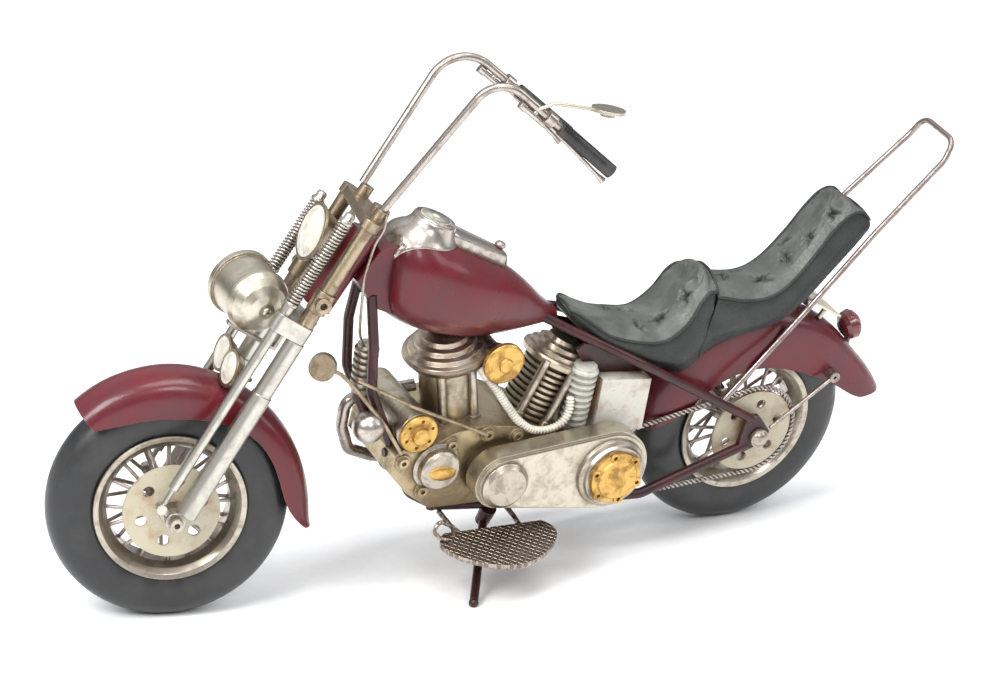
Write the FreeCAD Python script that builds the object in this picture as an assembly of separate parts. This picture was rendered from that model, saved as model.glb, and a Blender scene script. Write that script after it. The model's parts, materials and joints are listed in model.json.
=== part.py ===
import FreeCAD, Part
import math
import os

# A tin display motorcycle, a chopper with a springer fork, as separate pieces.
# It is drawn straight and upright: front tyre touching down at the origin, +X to the rear wheel,
# +Y to the rider's right, +Z up. It is then steered and leaned onto its side stand.

# ---- driving dimensions, mm and degrees ----
TYRE_R = 50.0
TYRE_HALF = 10.0
WHEELBASE = 269.4
BEAD_R = 30.0
RIM_INNER_R = 25.4
RIM_HALF = 10.0
HUB_R = 5.0
HUB_HALF = 13.2
FLANGE_R = 7.5
AXLE_R = 2.0
RUNNING_GAP = 0.05
SPOKE_PAIRS = 8
SPOKE_R = 0.8
DISC_R = 20.0
DISC_HOLES = 6
RAKE = 30.5
HEAD_OFFSET = 8.0
STEER = -17.1
LEAN = 10.0
# Small corrections that set both tyres on the ground and put the origin at the base's centre.
PITCH = 0.0871
SHIFT = FreeCAD.Vector(-151.389, 30.415, 0.5498)
LEG_SIDE = 21.0
SLEEVE_R = 4.4
MID_TUBE_R = 3.9
STANCHION_R = 3.1
FRONT_ROD_R = 2.2
SPRING_R = 2.9
BAR_R = 1.7
FENDER_HALF = 12.6
SHEET = 0.9
FRAME_R = 2.2
STAY_R = 2.0
CHAIN_Y = -14.2
CHAIN_R = 1.2
SPROCKET_R = 19.4
YOKE_TOP = 143.0

X = FreeCAD.Vector(1, 0, 0)
Y = FreeCAD.Vector(0, 1, 0)
Z = FreeCAD.Vector(0, 0, 1)
LEFT = FreeCAD.Vector(0, -1, 0)
SIN_RAKE = math.sin(math.radians(RAKE))
COS_RAKE = math.cos(math.radians(RAKE))
HEAD_POINT = FreeCAD.Vector(HEAD_OFFSET, 0, TYRE_R)
HEAD_UP = FreeCAD.Vector(SIN_RAKE, 0, COS_RAKE)
HEAD_FORE = FreeCAD.Vector(-COS_RAKE, 0, SIN_RAKE)
FRONT_AXLE = FreeCAD.Vector(0, 0, TYRE_R)
REAR_AXLE = FreeCAD.Vector(WHEELBASE, 0, TYRE_R)


# ---- shape helpers ----
def at(x, y, z):
    return FreeCAD.Vector(x, y, z)


def head(along, fore, side=0.0):
    """A point of the fork: along the steering axis, ahead of it, and to the right of it."""
    return HEAD_POINT + HEAD_UP * along + HEAD_FORE * fore + Y * side


def rod(start, end, radius):
    span = end - start
    return Part.makeCylinder(radius, span.Length, start, span)


def taper(start, end, radius_start, radius_end):
    span = end - start
    return Part.makeCone(radius_start, radius_end, span.Length, start, span)


def ball(centre, radius):
    return Part.makeSphere(radius, centre)


def ring(start, end, outer, inner):
    return rod(start, end, outer).cut(rod(start, end, inner))


def joined(shapes):
    whole = shapes[0]
    for shape in shapes[1:]:
        whole = whole.fuse(shape)
    return whole.removeSplitter()


def group(shapes):
    solids = []
    for shape in shapes:
        solids.extend(shape.Solids)
    return Part.makeCompound(solids)


def mirrored(shape):
    return shape.mirror(at(0, 0, 0), Y)


def both_sides(shape):
    return group([shape, mirrored(shape)])


def turned(shape, centre, axis, degrees):
    copy = shape.copy()
    copy.rotate(centre, axis, degrees)
    return copy


def around(shape, centre, axis, count, start=0.0):
    return [turned(shape, centre, axis, start + 360.0 * k / count) for k in range(count)]


def arc_route(points, bend):
    """Straight runs between the points, joined by tangent arcs of radius bend."""
    edges = []
    last = points[0]
    for before, corner, after in zip(points, points[1:], points[2:]):
        back = (before - corner).normalize()
        ahead = (after - corner).normalize()
        half = back.getAngle(ahead) / 2
        reach = bend / math.tan(half)
        reach = min(reach, 0.48 * (before - corner).Length, 0.48 * (after - corner).Length)
        radius = reach * math.tan(half)
        start = corner + back * reach
        end = corner + ahead * reach
        middle_way = (back + ahead).normalize()
        middle = corner + middle_way * (radius / math.sin(half) - radius)
        edges.append(Part.LineSegment(last, start).toShape())
        edges.append(Part.Arc(start, middle, end).toShape())
        last = end
    edges.append(Part.LineSegment(last, points[-1]).toShape())
    return Part.Wire(edges)


def tube(points, radius, bend):
    route = arc_route(points, bend)
    circle = Part.Circle(points[0], points[1] - points[0], radius).toShape()
    return route.makePipeShell([Part.Wire([circle])], True, True)


def outline_xz(points, y=0.0):
    corners = [at(x, y, z) for x, z in points]
    return Part.makePolygon(corners + corners[:1])


def plate(points, y_from, y_to):
    """A flat plate whose outline is given by (x, z) points, between two side planes."""
    return Part.Face(outline_xz(points, y_from)).extrude(at(0, y_to - y_from, 0))


def plan_block(points, z_from, z_to):
    """A block whose plan is given by (x, y) points."""
    corners = [at(x, y, z_from) for x, y in points]
    face = Part.Face(Part.makePolygon(corners + corners[:1]))
    return face.extrude(at(0, 0, z_to - z_from))


def spun(points, centre, axis, cross):
    """A solid of revolution from (along the axis, radius) points."""
    corners = [centre + axis * along + cross * radius for along, radius in points]
    face = Part.Face(Part.makePolygon(corners + corners[:1]))
    return face.revolve(centre, axis, 360)


def wheel_turn(points, centre):
    return spun(points, centre, Y, Z)


def smooth_curve(points):
    curve = Part.BSplineCurve()
    curve.interpolate(points)
    return curve.toShape()


def only_big(shape, least=0.4):
    solids = [solid for solid in shape.Solids if solid.Volume > least]
    return solids[0] if len(solids) == 1 else Part.makeCompound(solids)


# ---- wheels ----
def make_tyre(centre):
    section = [(-8.2, 31.2), (-9.9, 38.0), (-8.0, 46.0), (0.0, TYRE_R)]
    section += [(8.0, 46.0), (9.9, 38.0), (8.2, 31.2)]
    points = [centre + Y * y + Z * r for y, r in section]
    inner = [centre + Y * 8.2 + Z * BEAD_R, centre - Y * 8.2 + Z * BEAD_R]
    edges = [smooth_curve(points)]
    edges.append(Part.LineSegment(points[-1], inner[0]).toShape())
    edges.append(Part.LineSegment(inner[0], inner[1]).toShape())
    edges.append(Part.LineSegment(inner[1], points[0]).toShape())
    return Part.Face(Part.Wire(edges)).revolve(centre, Y, 360)


def make_rim(centre):
    half = [(8.2, BEAD_R), (9.4, 31.8), (RIM_HALF, 31.4), (9.4, 29.4), (7.4, 27.4), (4.4, RIM_INNER_R)]
    other = [(-y, r) for y, r in reversed(half)]
    return wheel_turn(half + other, centre)


def make_hub(centre):
    bore = AXLE_R + RUNNING_GAP
    half = [(HUB_HALF, bore), (HUB_HALF, HUB_R), (9.6, HUB_R), (9.6, FLANGE_R), (8.2, FLANGE_R), (8.2, 4.2)]
    other = [(-y, r) for y, r in reversed(half)]
    return wheel_turn(half + other, centre)


def make_spokes(centre, rim, hub):
    """Spokes in V-shaped pairs: each pair leaves the hub together and parts towards the rim."""
    pairs = []
    for side in (-1, 1):
        for k in range(SPOKE_PAIRS):
            pair_angle = 360.0 * (k + 0.25 * side) / SPOKE_PAIRS
            arms = []
            for lean in (-1, 1):
                inner = centre + Y * (side * 8.9) + wheel_radial(pair_angle + 2 * lean) * 6.4
                reach = wheel_radial(pair_angle + 9.5 * lean) * (RIM_INNER_R + 0.6)
                arms.append(rod(inner, centre + Y * (side * 3.4) + reach, SPOKE_R))
            pairs.append(joined(arms).cut(rim).cut(hub))
    return group([only_big(pair) for pair in pairs])


def wheel_radial(angle):
    turn = math.radians(angle)
    return at(math.sin(turn), 0, math.cos(turn))


def make_disc(centre, y_from, y_to, radius, hole_circle, hole_r):
    disc = ring(centre + Y * y_from, centre + Y * y_to, radius, HUB_R)
    for k in range(DISC_HOLES):
        middle = centre + wheel_radial(360.0 * k / DISC_HOLES + 12) * hole_circle
        disc = disc.cut(rod(middle + Y * (y_from - 1), middle + Y * (y_to + 1), hole_r))
    return disc


def make_wheel(name, centre):
    parts = {}
    rim = make_rim(centre)
    hub = make_hub(centre)
    parts[name + "_tyre"] = make_tyre(centre)
    parts[name + "_rim"] = rim
    parts[name + "_hub"] = hub
    parts[name + "_spokes"] = make_spokes(centre, rim, hub)
    return parts


# ---- springer fork ----
def make_fork_legs():
    parts = {}
    lug_x = rod(FRONT_AXLE - Y * 24.0, FRONT_AXLE - Y * 18.0, 4.0)
    axle = rod(FRONT_AXLE - Y * 25.2, FRONT_AXLE + Y * 25.2, AXLE_R)
    sleeve = rod(head(0.0, 4.2, -LEG_SIDE), head(59.0, 5.8, -LEG_SIDE), SLEEVE_R)
    middle = rod(head(59.0, 5.8, -LEG_SIDE), head(84.8, 6.6, -LEG_SIDE), MID_TUBE_R)
    lower = joined([sleeve, lug_x, middle]).cut(axle)
    stanchion = rod(head(84.8, 6.6, -LEG_SIDE), head(YOKE_TOP - 4.0, 8.0, -LEG_SIDE), STANCHION_R)
    front_rod = rod(head(7.0, 14.9, -LEG_SIDE), head(96.6, 16.9, -LEG_SIDE), FRONT_ROD_R)
    link = rod(head(-2.0, 14.4, -LEG_SIDE), head(7.0, 14.9, -LEG_SIDE), 1.1)
    link_pad = rod(head(-2.5, 14.4, -23.0), head(-2.5, 14.4, -19.0), 2.2)
    bridge = rod(head(-2.5, 14.4, -LEG_SIDE), FRONT_AXLE - Y * LEG_SIDE, 1.4).cut(lower).cut(axle)
    front = joined([front_rod, link, link_pad, bridge])
    parts["fork_lower_legs"] = both_sides(lower)
    parts["fork_stanchions"] = both_sides(stanchion)
    parts["fork_front_rods"] = both_sides(front)
    parts["front_axle"] = axle
    parts["front_axle_nuts"] = both_sides(ring_bolt(FRONT_AXLE - Y * 25.2, LEFT, 2.7, 2.6))
    return parts


def ring_bolt(base, outward, radius, height, hole=None):
    """A round-headed bolt with a socket in its face."""
    socket = hole or radius * 0.45
    head_solid = rod(base, base + outward * height, radius)
    return head_solid.cut(rod(base + outward * (height * 0.35), base + outward * (height + 1), socket))


def make_springs():
    """Springs on their rods; the left one stands a little taller than the right one."""
    parts = {}
    guides = []
    coils = []
    caps = []
    for side, top in ((-LEG_SIDE, 136.0), (LEG_SIDE, 130.0)):
        foot = head(96.6, 16.9, side)
        seat = head(top, 17.0, side)
        guides.append(rod(foot, seat, 1.7))
        coils.append(ring(foot, seat, SPRING_R, 1.75))
        caps.append(rod(seat, head(top + 5.2, 17.0, side), 3.1))
    parts["spring_guides"] = group(guides)
    parts["fork_springs"] = group(coils)
    parts["spring_caps"] = group(caps)
    return parts


def slotted_band(along_from, along_to, fore_back, fore_front, side, radius):
    """A clamp band round two parallel tubes: two rounds joined by a flat middle."""
    back = rod(head(along_from, fore_back, side), head(along_to, fore_back, side), radius)
    front = rod(head(along_from, fore_front, side), head(along_to, fore_front, side), radius)
    corners = []
    for fore, out in ((fore_back, -1), (fore_front, -1), (fore_front, 1), (fore_back, 1)):
        corners.append(head(along_from, fore, side + out * radius))
    face = Part.Face(Part.makePolygon(corners + corners[:1]))
    return joined([back, front, face.extrude(HEAD_UP * (along_to - along_from))])


def head_block(along_from, along_to, fore_from, fore_to, half_width):
    corners = []
    for fore, side in ((fore_from, -1), (fore_to, -1), (fore_to, 1), (fore_from, 1)):
        corners.append(head(along_from, fore, side * half_width))
    face = Part.Face(Part.makePolygon(corners + corners[:1]))
    return face.extrude(HEAD_UP * (along_to - along_from))


def yoke_plate(along_from, along_to, fore_to, half_width):
    """A six-sided plate, deep at the steering stem and slim at the two legs."""
    outline = [(-3.6, -3.5), (3.6, -half_width), (fore_to, -half_width)]
    outline += [(fore_to, half_width), (3.6, half_width), (-3.6, 3.5)]
    corners = [head(along_from, fore, side) for fore, side in outline]
    face = Part.Face(Part.makePolygon(corners + corners[:1]))
    return face.extrude(HEAD_UP * (along_to - along_from))


def make_clamps():
    parts = {}
    bands = both_sides(slotted_band(85.0, 92.4, 6.8, 16.6, -LEG_SIDE, 3.7))
    bridge = yoke_plate(86.0, 91.4, 6.0, LEG_SIDE - 3.0)
    parts["lower_yoke"] = joined([bands, bridge])
    collar = rod(head(99.5, 6.9, -LEG_SIDE), head(108.5, 7.1, -LEG_SIDE), 4.2)
    boss = rod(head(104.0, 7.0, -LEG_SIDE), head(104.0, 7.0, -27.0), 3.2)
    boss = boss.cut(rod(head(104.0, 7.0, -25.0), head(104.0, 7.0, -28.0), 1.5))
    parts["pinch_collars"] = both_sides(joined([collar, boss]))
    low = YOKE_TOP - 4.0
    top = yoke_plate(low, YOKE_TOP, 11.0, LEG_SIDE)
    ends = both_sides(rod(head(low, 8.0, -LEG_SIDE), head(YOKE_TOP, 8.0, -LEG_SIDE), 4.0))
    parts["top_yoke"] = joined([top, ends])
    parts["steering_stem"] = rod(head(85.0, 0), head(YOKE_TOP + 0.6, 0), 3.0)
    parts["bar_risers"] = both_sides(rod(head(YOKE_TOP, 4.5, -15.5), head(YOKE_TOP + 4.5, 4.5, -15.5), 3.0))
    parts["stem_nut"] = rod(head(YOKE_TOP, 0), head(YOKE_TOP + 2.6, 0), 3.9)
    return parts


LEFT_BAR = [(78.0, -15.5, 178.6), (119.5, -25.0, 239.4), (168.5, -26.0, 198.8)]
RIGHT_BAR = [(76.6, 15.5, 180.5), (113.6, 24.5, 239.0), (163.6, 26.0, 198.2)]


def make_handlebar():
    """Two hand-bent bars, each with its grip, its clamp, its lever and the switch below the bar."""
    bars, grips, clamps, levers = [], [], [], []
    for corners, bend in ((LEFT_BAR, 12.0), (RIGHT_BAR, 16.0)):
        start, corner, end = [at(*p) for p in corners]
        way = (end - corner).normalize()
        down = way.cross(Y).normalize()
        down = down if down.z < 0 else down * -1
        grip_start = end - way * 29.0
        bar = tube([start, corner, end - way * 1.5], BAR_R, bend)
        grip = rod(grip_start, end, 3.0)
        clamp = rod(grip_start - way * 7.5, grip_start - way * 3.5, 2.9)
        lever_root = grip_start - way * 5.5 + down * 2.2
        lever_tip = end + down * 4.9 - way * 1.0
        switch = rod(grip_start - way * 17.0 + down * 3.4, grip_start - way * 6.0 + down * 3.4, 1.3)
        stub = rod(grip_start - way * 12.0, grip_start - way * 12.0 + down * 3.4, 1.1)
        knob = rod(grip_start - way * 19.4 + down * 3.4, grip_start - way * 16.6 + down * 3.4, 1.8)
        bars.append(bar)
        grips.append(grip.cut(bar))
        clamps.append(joined([clamp, switch, stub, knob]).cut(bar))
        reach = (lever_tip - lever_root).normalize()
        tip = taper(lever_tip - reach * 3.0, lever_tip + reach * 1.0, 0.86, 1.5)
        levers.append(joined([rod(lever_root, lever_tip - reach * 1.0, 0.85), tip]))
    parts = {"handlebar": group(bars), "grips": group(grips)}
    parts["lever_clamps"] = group(clamps)
    parts["levers"] = group(levers)
    return parts


def make_mirror():
    route = [at(136.5, -26.4, 225.2), at(142.5, -28.0, 228.0)]
    route += [at(150.0, -28.0, 227.0), at(160.5, -28.0, 225.2)]
    stalk = tube(route, 0.8, 4.0)
    centre = at(164.6, -28.0, 225.4)
    glass_axis = at(0.12, 0.05, 1.0).normalize()
    plate_disc = rod(centre - glass_axis * 0.8, centre + glass_axis * 0.6, 7.0)
    back = rod(centre - glass_axis * 2.6, centre - glass_axis * 0.8, 3.0)
    plate_disc = joined([plate_disc, back])
    return {"mirror_stalk": only_big(stalk.cut(plate_disc)), "mirror": plate_disc}


LAMP_CENTRE = head(87.9, 25.75)


def make_lamps():
    """The headlight: a domed back shell rolled over a short drum, with its rim and its lens."""
    parts = {}
    axis = (Y * 0.955 + HEAD_FORE * 0.296).normalize()
    cross = axis.cross(HEAD_UP.cross(axis)).normalize()
    shell = [(-15.2, 0), (-14.9, 3.4), (-13.8, 6.9), (-11.8, 10.0), (-9.0, 12.4), (-6.4, 13.4)]
    shell += [(-5.0, 13.6), (-4.2, 13.2), (-4.0, 12.5), (9.0, 13.1), (9.0, 0)]
    parts["headlight_bucket"] = spun(shell, LAMP_CENTRE, axis, cross)
    parts["headlight_rim"] = ring(LAMP_CENTRE + axis * 9.0, LAMP_CENTRE + axis * 11.6, 14.2, 11.8)
    parts["headlight_lens"] = rod(LAMP_CENTRE + axis * 9.0, LAMP_CENTRE + axis * 10.8, 11.8)
    stud = rod(head(73.9, 25.75), head(79.0, 25.75), 1.7).cut(parts["headlight_bucket"])
    parts["headlight_stud"] = stud
    return parts


def make_lamp_bracket():
    arm = head_block(72.6, 73.8, 4.6, 27.8, 1.9)
    upright = head_block(73.8, 86.0, 4.6, 6.0, 1.9)
    return {"headlight_bracket": joined([arm, upright])}


def lamp_dish(centre, facing, radius, depth, back_r):
    """A shallow lamp: a cone-backed shell and the domed glass it holds."""
    back = centre - facing * depth
    shell = taper(back, centre, back_r, radius)
    lip = rod(centre, centre + facing * 1.2, radius + 0.5)
    glass = rod(centre + facing * 0.4, centre + facing * 1.2, radius - 0.8)
    bulge = ball(centre - facing * (radius * 1.3), radius * 1.62)
    bulge = bulge.common(rod(centre + facing * 1.2, centre + facing * 6.0, radius - 0.8))
    shell = joined([shell, lip]).cut(glass)
    return shell, joined([glass, bulge])


def looking(up, left):
    """A forward direction raised and turned to the left by so many degrees."""
    rise, yaw = math.radians(up), math.radians(left)
    return at(-math.cos(rise) * math.cos(yaw), -math.cos(rise) * math.sin(yaw), math.sin(rise))


def make_auxiliary_lamps():
    parts = {}
    facing = looking(22.0, 7.0)
    spot_centre = head(122.8, 18.6)
    shell, glass = lamp_dish(spot_centre, facing, 11.7, 7.0, 8.0)
    mount = rod(spot_centre - facing * 6.5, spot_centre - facing * 10.4, 2.0)
    hanger = rod(head(122.4, 9.2), head(YOKE_TOP - 4.0, 9.2), 1.4)
    parts["spot_lamp_shell"] = joined([shell, mount, hanger])
    parts["spot_lamp_glass"] = glass
    signal_shells = []
    signal_glasses = []
    for side in (-1, 1):
        facing = looking(18.0, 10.0)
        centre = at(22.2, side * 8.6, 110.4)
        shell, glass = lamp_dish(centre, facing, 7.4, 4.0, 4.4)
        stem = rod(centre - facing * 3.6, centre - facing * 3.6 + at(3.0, side * 8.6, -1.0), 1.0)
        signal_shells.append(joined([shell, stem]))
        signal_glasses.append(glass)
    parts["signal_shells"] = group(signal_shells)
    parts["signal_glasses"] = group(signal_glasses)
    return parts


# ---- fenders ----
def arch(half, crown_r, skirt_r):
    """Points across the arch of a fender: a half ellipse standing on its two skirts."""
    shoulder = max(crown_r - 0.66 * FENDER_HALF, skirt_r + 0.15 * (crown_r - skirt_r))
    rise = crown_r - shoulder
    turns = [math.radians(angle) for angle in (180, 150, 120, 90, 60, 30, 0)]
    return [(half * math.cos(turn), shoulder + rise * math.sin(turn)) for turn in turns]


def fender_section(axle, angle, crown_r, skirt_r, half, sheet):
    """One closed cross-section of a fender: an arched strip standing across the wheel."""
    radial = at(math.cos(math.radians(angle)), 0, math.sin(math.radians(angle)))
    inside = half - sheet
    outer = [(-half, skirt_r)] + arch(half, crown_r, skirt_r) + [(half, skirt_r)]
    inner = [(inside, skirt_r)] + arch(inside, crown_r - sheet, skirt_r)[::-1] + [(-inside, skirt_r)]
    corners = [axle + Y * y + radial * r for y, r in outer]
    back = [axle + Y * y + radial * r for y, r in inner]
    edges = [smooth_curve(corners)]
    edges.append(Part.LineSegment(corners[-1], back[0]).toShape())
    edges.append(smooth_curve(back))
    edges.append(Part.LineSegment(back[-1], corners[0]).toShape())
    return Part.Wire(edges)


def make_fender(axle, stations):
    """stations: angle from +X towards +Z, crown radius, skirt radius."""
    wires = [fender_section(axle, a, crown, skirt, FENDER_HALF, SHEET) for a, crown, skirt in stations]
    return Part.makeLoft(wires, True, False)


def make_front_fender():
    stations = [(132.5, 58.2, 48.5), (126, 58.3, 45.5), (118, 58.4, 43.2), (108, 58.3, 41.6)]
    stations += [(90, 58.2, 40.2), (66, 57.2, 42.0), (40, 56.6, 45.0), (14, 57.2, 45.5)]
    stations += [(-2, 58.6, 49.0), (-9, 59.8, 56.0)]
    return make_fender(FRONT_AXLE, stations)


def make_rear_fender():
    stations = [(172, 56.5, 52.0), (164, 56.5, 39.0), (148, 56.5, 34.0), (120, 56.5, 30.8)]
    stations += [(90, 56.6, 29.6), (62, 56.8, 30.8), (44, 57.8, 34.0), (30, 59.8, 39.0), (19, 63.8, 45.0)]
    stations += [(12, 67.4, 50.0), (7.0, 70.0, 56.5)]
    return make_fender(REAR_AXLE, stations)


# ---- frame ----
def make_frame():
    parts = {}
    neck = ring(head(97.0, 0), head(134.0, 0), 6.2, 3.0 + RUNNING_GAP)
    box = [(70.5, 146.8), (80.0, 133.5), (92.0, 127.5), (96.0, 150.0), (88.0, 161.0), (79.5, 160.0)]
    gusset = plate(box, -8.0, 8.0).cut(rod(head(90.0, 0), head(140.0, 0), 3.0 + RUNNING_GAP))
    parts["neck"] = joined([neck, gusset])
    backbone = tube([at(90.0, 0, 146.0), at(128.0, 0, 131.0), at(163.0, 0, 115.5)], 3.0, 60.0)
    parts["backbone"] = backbone
    cradle = [(78.4, 6.5, 139.0), (79.2, 12.0, 119.0), (81.0, 12.0, 96.0), (104.5, 12.0, 44.0)]
    cradle += [(118.0, 12.0, 35.6), (179.0, 12.0, 27.6), (214.0, 19.5, 29.9), (264.6, 19.5, 46.6)]
    left = tube([at(x, -y, z) for x, y, z in cradle], FRAME_R, 9.0)
    parts["cradle_left"] = left
    parts["cradle_right"] = mirrored(left)
    upper = [(160.0, 5.0, 117.5), (178.0, 14.0, 109.5), (204.3, 19.5, 95.8), (265.8, 19.5, 58.8)]
    stay = tube([at(x, -y, z) for x, y, z in upper], STAY_R, 12.0)
    parts["upper_stay_left"] = stay
    parts["upper_stay_right"] = mirrored(stay)
    cross = [rod(at(84.6, -12.0, 88.0), at(84.6, 12.0, 88.0), 1.4)]
    cross.append(rod(at(117.0, -12.0, 36.0), at(117.0, 12.0, 36.0), 1.8))
    cross.append(rod(at(172.0, -12.0, 28.4), at(172.0, 12.0, 28.4), 1.8))
    cross.append(rod(at(206.0, -19.5, 94.8), at(206.0, 19.5, 94.8), 1.6))
    parts["cross_members"] = group(cross)
    plate_outline = [(259.5, 44.0), (263.0, 43.6), (274.0, 47.5)]
    plate_outline += [(274.5, 52.5), (268.5, 60.5), (262.5, 61.5)]
    axle_plate = plate(plate_outline, -20.8, -18.0)
    axle_plate = axle_plate.cut(rod(REAR_AXLE - Y * 30, REAR_AXLE, AXLE_R))
    parts["axle_plates"] = both_sides(axle_plate)
    side_plate = [(176.0, 102.0), (184.0, 89.0), (209.0, 86.0)]
    side_plate += [(209.6, 92.0), (194.0, 100.4), (179.0, 105.4)]
    parts["side_gussets"] = both_sides(plate(side_plate, -12.6, -11.4))
    return parts


def make_rear_axle():
    axle = rod(REAR_AXLE - Y * 21.5, REAR_AXLE + Y * 21.5, AXLE_R)
    washer = rod(REAR_AXLE - Y * 22.4, REAR_AXLE - Y * 20.8, 4.3)
    dome = ball(REAR_AXLE - Y * 20.2, 4.4).common(rod(REAR_AXLE - Y * 26, REAR_AXLE - Y * 22.4, 4.0))
    cap = joined([washer, dome]).cut(axle)
    return {"rear_axle": axle, "rear_axle_caps": both_sides(cap)}


# ---- tank ----
def tank_section(x, top, bottom, half, squareness=0.72):
    middle = bottom + 0.52 * (top - bottom)
    quarter_top = bottom + 0.86 * (top - bottom)
    quarter_low = bottom + 0.14 * (top - bottom)
    right = [(0, top), (squareness * half, quarter_top), (half, middle), (squareness * half, quarter_low)]
    points = [at(x, y, z) for y, z in right] + [at(x, 0, bottom)]
    points += [at(x, -y, z) for y, z in reversed(right[1:])]
    curve = Part.BSplineCurve()
    curve.interpolate(points, True)
    return Part.Wire([curve.toShape()])


def make_tank():
    stations = [(85.5, 158.0, 133.0, 8.5), (88.0, 163.0, 127.5, 14.5), (94.0, 166.5, 123.0, 18.6)]
    stations += [(103.0, 164.5, 118.5, 20.3), (115.0, 158.0, 114.5, 20.2), (130.0, 149.0, 111.8, 17.6)]
    stations += [(145.0, 139.5, 111.5, 13.4), (158.0, 128.0, 112.2, 8.8), (169.0, 118.4, 112.8, 3.8)]
    shell = Part.makeLoft([tank_section(*station) for station in stations], True, False)
    return {"fuel_tank": shell}


def make_dash(tank):
    """The chrome console: a saddle of sheet that lies on the tank's top, with its dial and knob."""
    stations = [(81.6, 162.5, 152.0, 8.0), (85.5, 168.4, 156.5, 10.0), (92.0, 170.8, 159.5, 11.8)]
    stations += [(99.0, 170.2, 159.5, 12.2), (107.0, 166.6, 157.0, 11.8), (117.0, 161.6, 151.5, 9.4)]
    stations += [(128.0, 155.8, 145.0, 6.6), (141.6, 148.4, 139.0, 4.4)]
    body = Part.makeLoft([tank_section(*station) for station in stations], True, False)
    dial_axis = at(0.52, 0, 1.0).normalize()
    dial_centre = at(106.4, 0, 167.2)
    dial_seat = rod(dial_centre - dial_axis * 5, dial_centre + dial_axis * 1.2, 8.4)
    dial = rod(dial_centre + dial_axis * 0.4, dial_centre + dial_axis * 1.6, 7.4)
    body = joined([body, dial_seat]).cut(tank).cut(dial)
    post = rod(at(137.6, 0, 146.0), at(138.4, 0, 150.6), 1.2)
    knob = post.fuse(ball(at(138.5, 0, 151.4), 1.8)).cut(body)
    return {"dash_console": only_big(body), "dash_dial": dial, "dash_knob": only_big(knob)}


# ---- engine ----
FRONT_BASE = FreeCAD.Vector(125.8, 0, 71.0)
FRONT_LEAN = -10.0
REAR_BASE = FreeCAD.Vector(161.0, 0, 64.5)
REAR_LEAN = 23.0


def leaning(degrees):
    turn = math.radians(degrees)
    return at(math.sin(turn), 0, math.cos(turn))


def make_front_cylinder():
    parts = {}
    way = leaning(FRONT_LEAN)
    cross = at(way.z, 0, -way.x)
    barrel = [(0, 0), (0, 10.2), (3.0, 11.6), (29.5, 12.2), (29.5, 0)]
    parts["front_cylinder"] = spun(barrel, FRONT_BASE, way, cross)
    cover = [(29.5, 0), (29.5, 15.8), (32.2, 18.0), (33.4, 18.6), (34.6, 18.0), (35.4, 16.2), (37.2, 15.6)]
    cover += [(38.0, 13.4), (39.8, 12.8), (40.6, 10.4), (42.4, 9.8), (43.4, 6.0), (43.4, 0)]
    parts["front_rocker_cover"] = spun(cover, FRONT_BASE, way, cross)
    tubes = []
    for across, side in ((-7.6, -10.6), (6.4, -11.4)):
        foot = FRONT_BASE + cross * across + Y * side + way * 1.5
        tubes.append(rod(foot, foot + way * 28.0, 1.9))
        tubes.append(rod(foot, foot + way * 4.5, 2.7))
    pairs = [joined(tubes[:2]), joined(tubes[2:])]
    parts["front_pushrod_tubes"] = group([pair.cut(parts["front_cylinder"]) for pair in pairs])
    return parts


def make_rear_cylinder():
    parts = {}
    way = leaning(REAR_LEAN)
    cross = at(way.z, 0, -way.x)
    barrel = [(0, 0), (0, 9.6)]
    for k in range(10):
        low = 2.0 + 2.7 * k
        barrel += [(low, 9.6), (low, 12.0), (low + 1.3, 12.0), (low + 1.3, 9.6)]
    barrel += [(30.0, 9.6), (30.0, 0)]
    parts["rear_cylinder"] = spun(barrel, REAR_BASE, way, cross)
    cover = [(30.0, 0), (30.0, 14.6), (32.2, 15.2), (33.2, 14.8), (33.8, 13.0), (35.4, 12.8)]
    cover += [(36.2, 10.6), (38.0, 10.2), (38.8, 7.6), (40.6, 7.0), (41.2, 0)]
    parts["rear_rocker_cover"] = spun(cover, REAR_BASE, way, cross)
    tubes = []
    for across, side in ((-10.6, -10.0), (1.6, -14.0)):
        foot = REAR_BASE + cross * across + Y * side + way * 1.0
        column = joined([rod(foot, foot + way * 31.0, 1.8), rod(foot, foot + way * 6.0, 2.4)])
        tubes.append(column.cut(parts["rear_cylinder"]))
    parts["rear_pushrod_tubes"] = group([only_big(column) for column in tubes])
    return parts


CASE = [(90.0, 60.0), (91.0, 69.0), (97.0, 73.5), (110.0, 72.5), (118.0, 76.0), (132.0, 77.5), (148.0, 74.5)]
CASE += [(164.0, 67.0), (170.0, 58.0), (168.0, 44.0), (150.0, 39.4), (110.0, 41.0), (98.0, 50.0)]
CASE_Y = -21.0
CASE_BOLTS = [(133.0, 73.6), (116.4, 71.0), (147.0, 70.8), (94.4, 66.0), (105.0, 50.6)]


def make_crankcase():
    parts = {}
    case = plate(CASE, -16.0, 16.0)
    cover_left = plate(CASE, CASE_Y, -16.0)
    cover_right = plate(CASE, 16.0, -CASE_Y)
    bolts = [ring_bolt(at(x, CASE_Y, z), LEFT, 2.3, 2.2) for x, z in CASE_BOLTS]
    bosses = [ring(at(x, CASE_Y, z), at(x, CASE_Y - 0.9, z), 3.4, 2.3) for x, z in CASE_BOLTS]
    barrel_space = rod(at(100.0, -30, 79.0), at(100.0, 30, 79.0), 9.2)
    parts["crankcase"] = case.cut(barrel_space)
    parts["case_cover_left"] = joined([cover_left] + bosses).cut(barrel_space)
    parts["case_cover_right"] = cover_right.cut(barrel_space)
    parts["case_bolts"] = group(bolts)
    return parts


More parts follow.
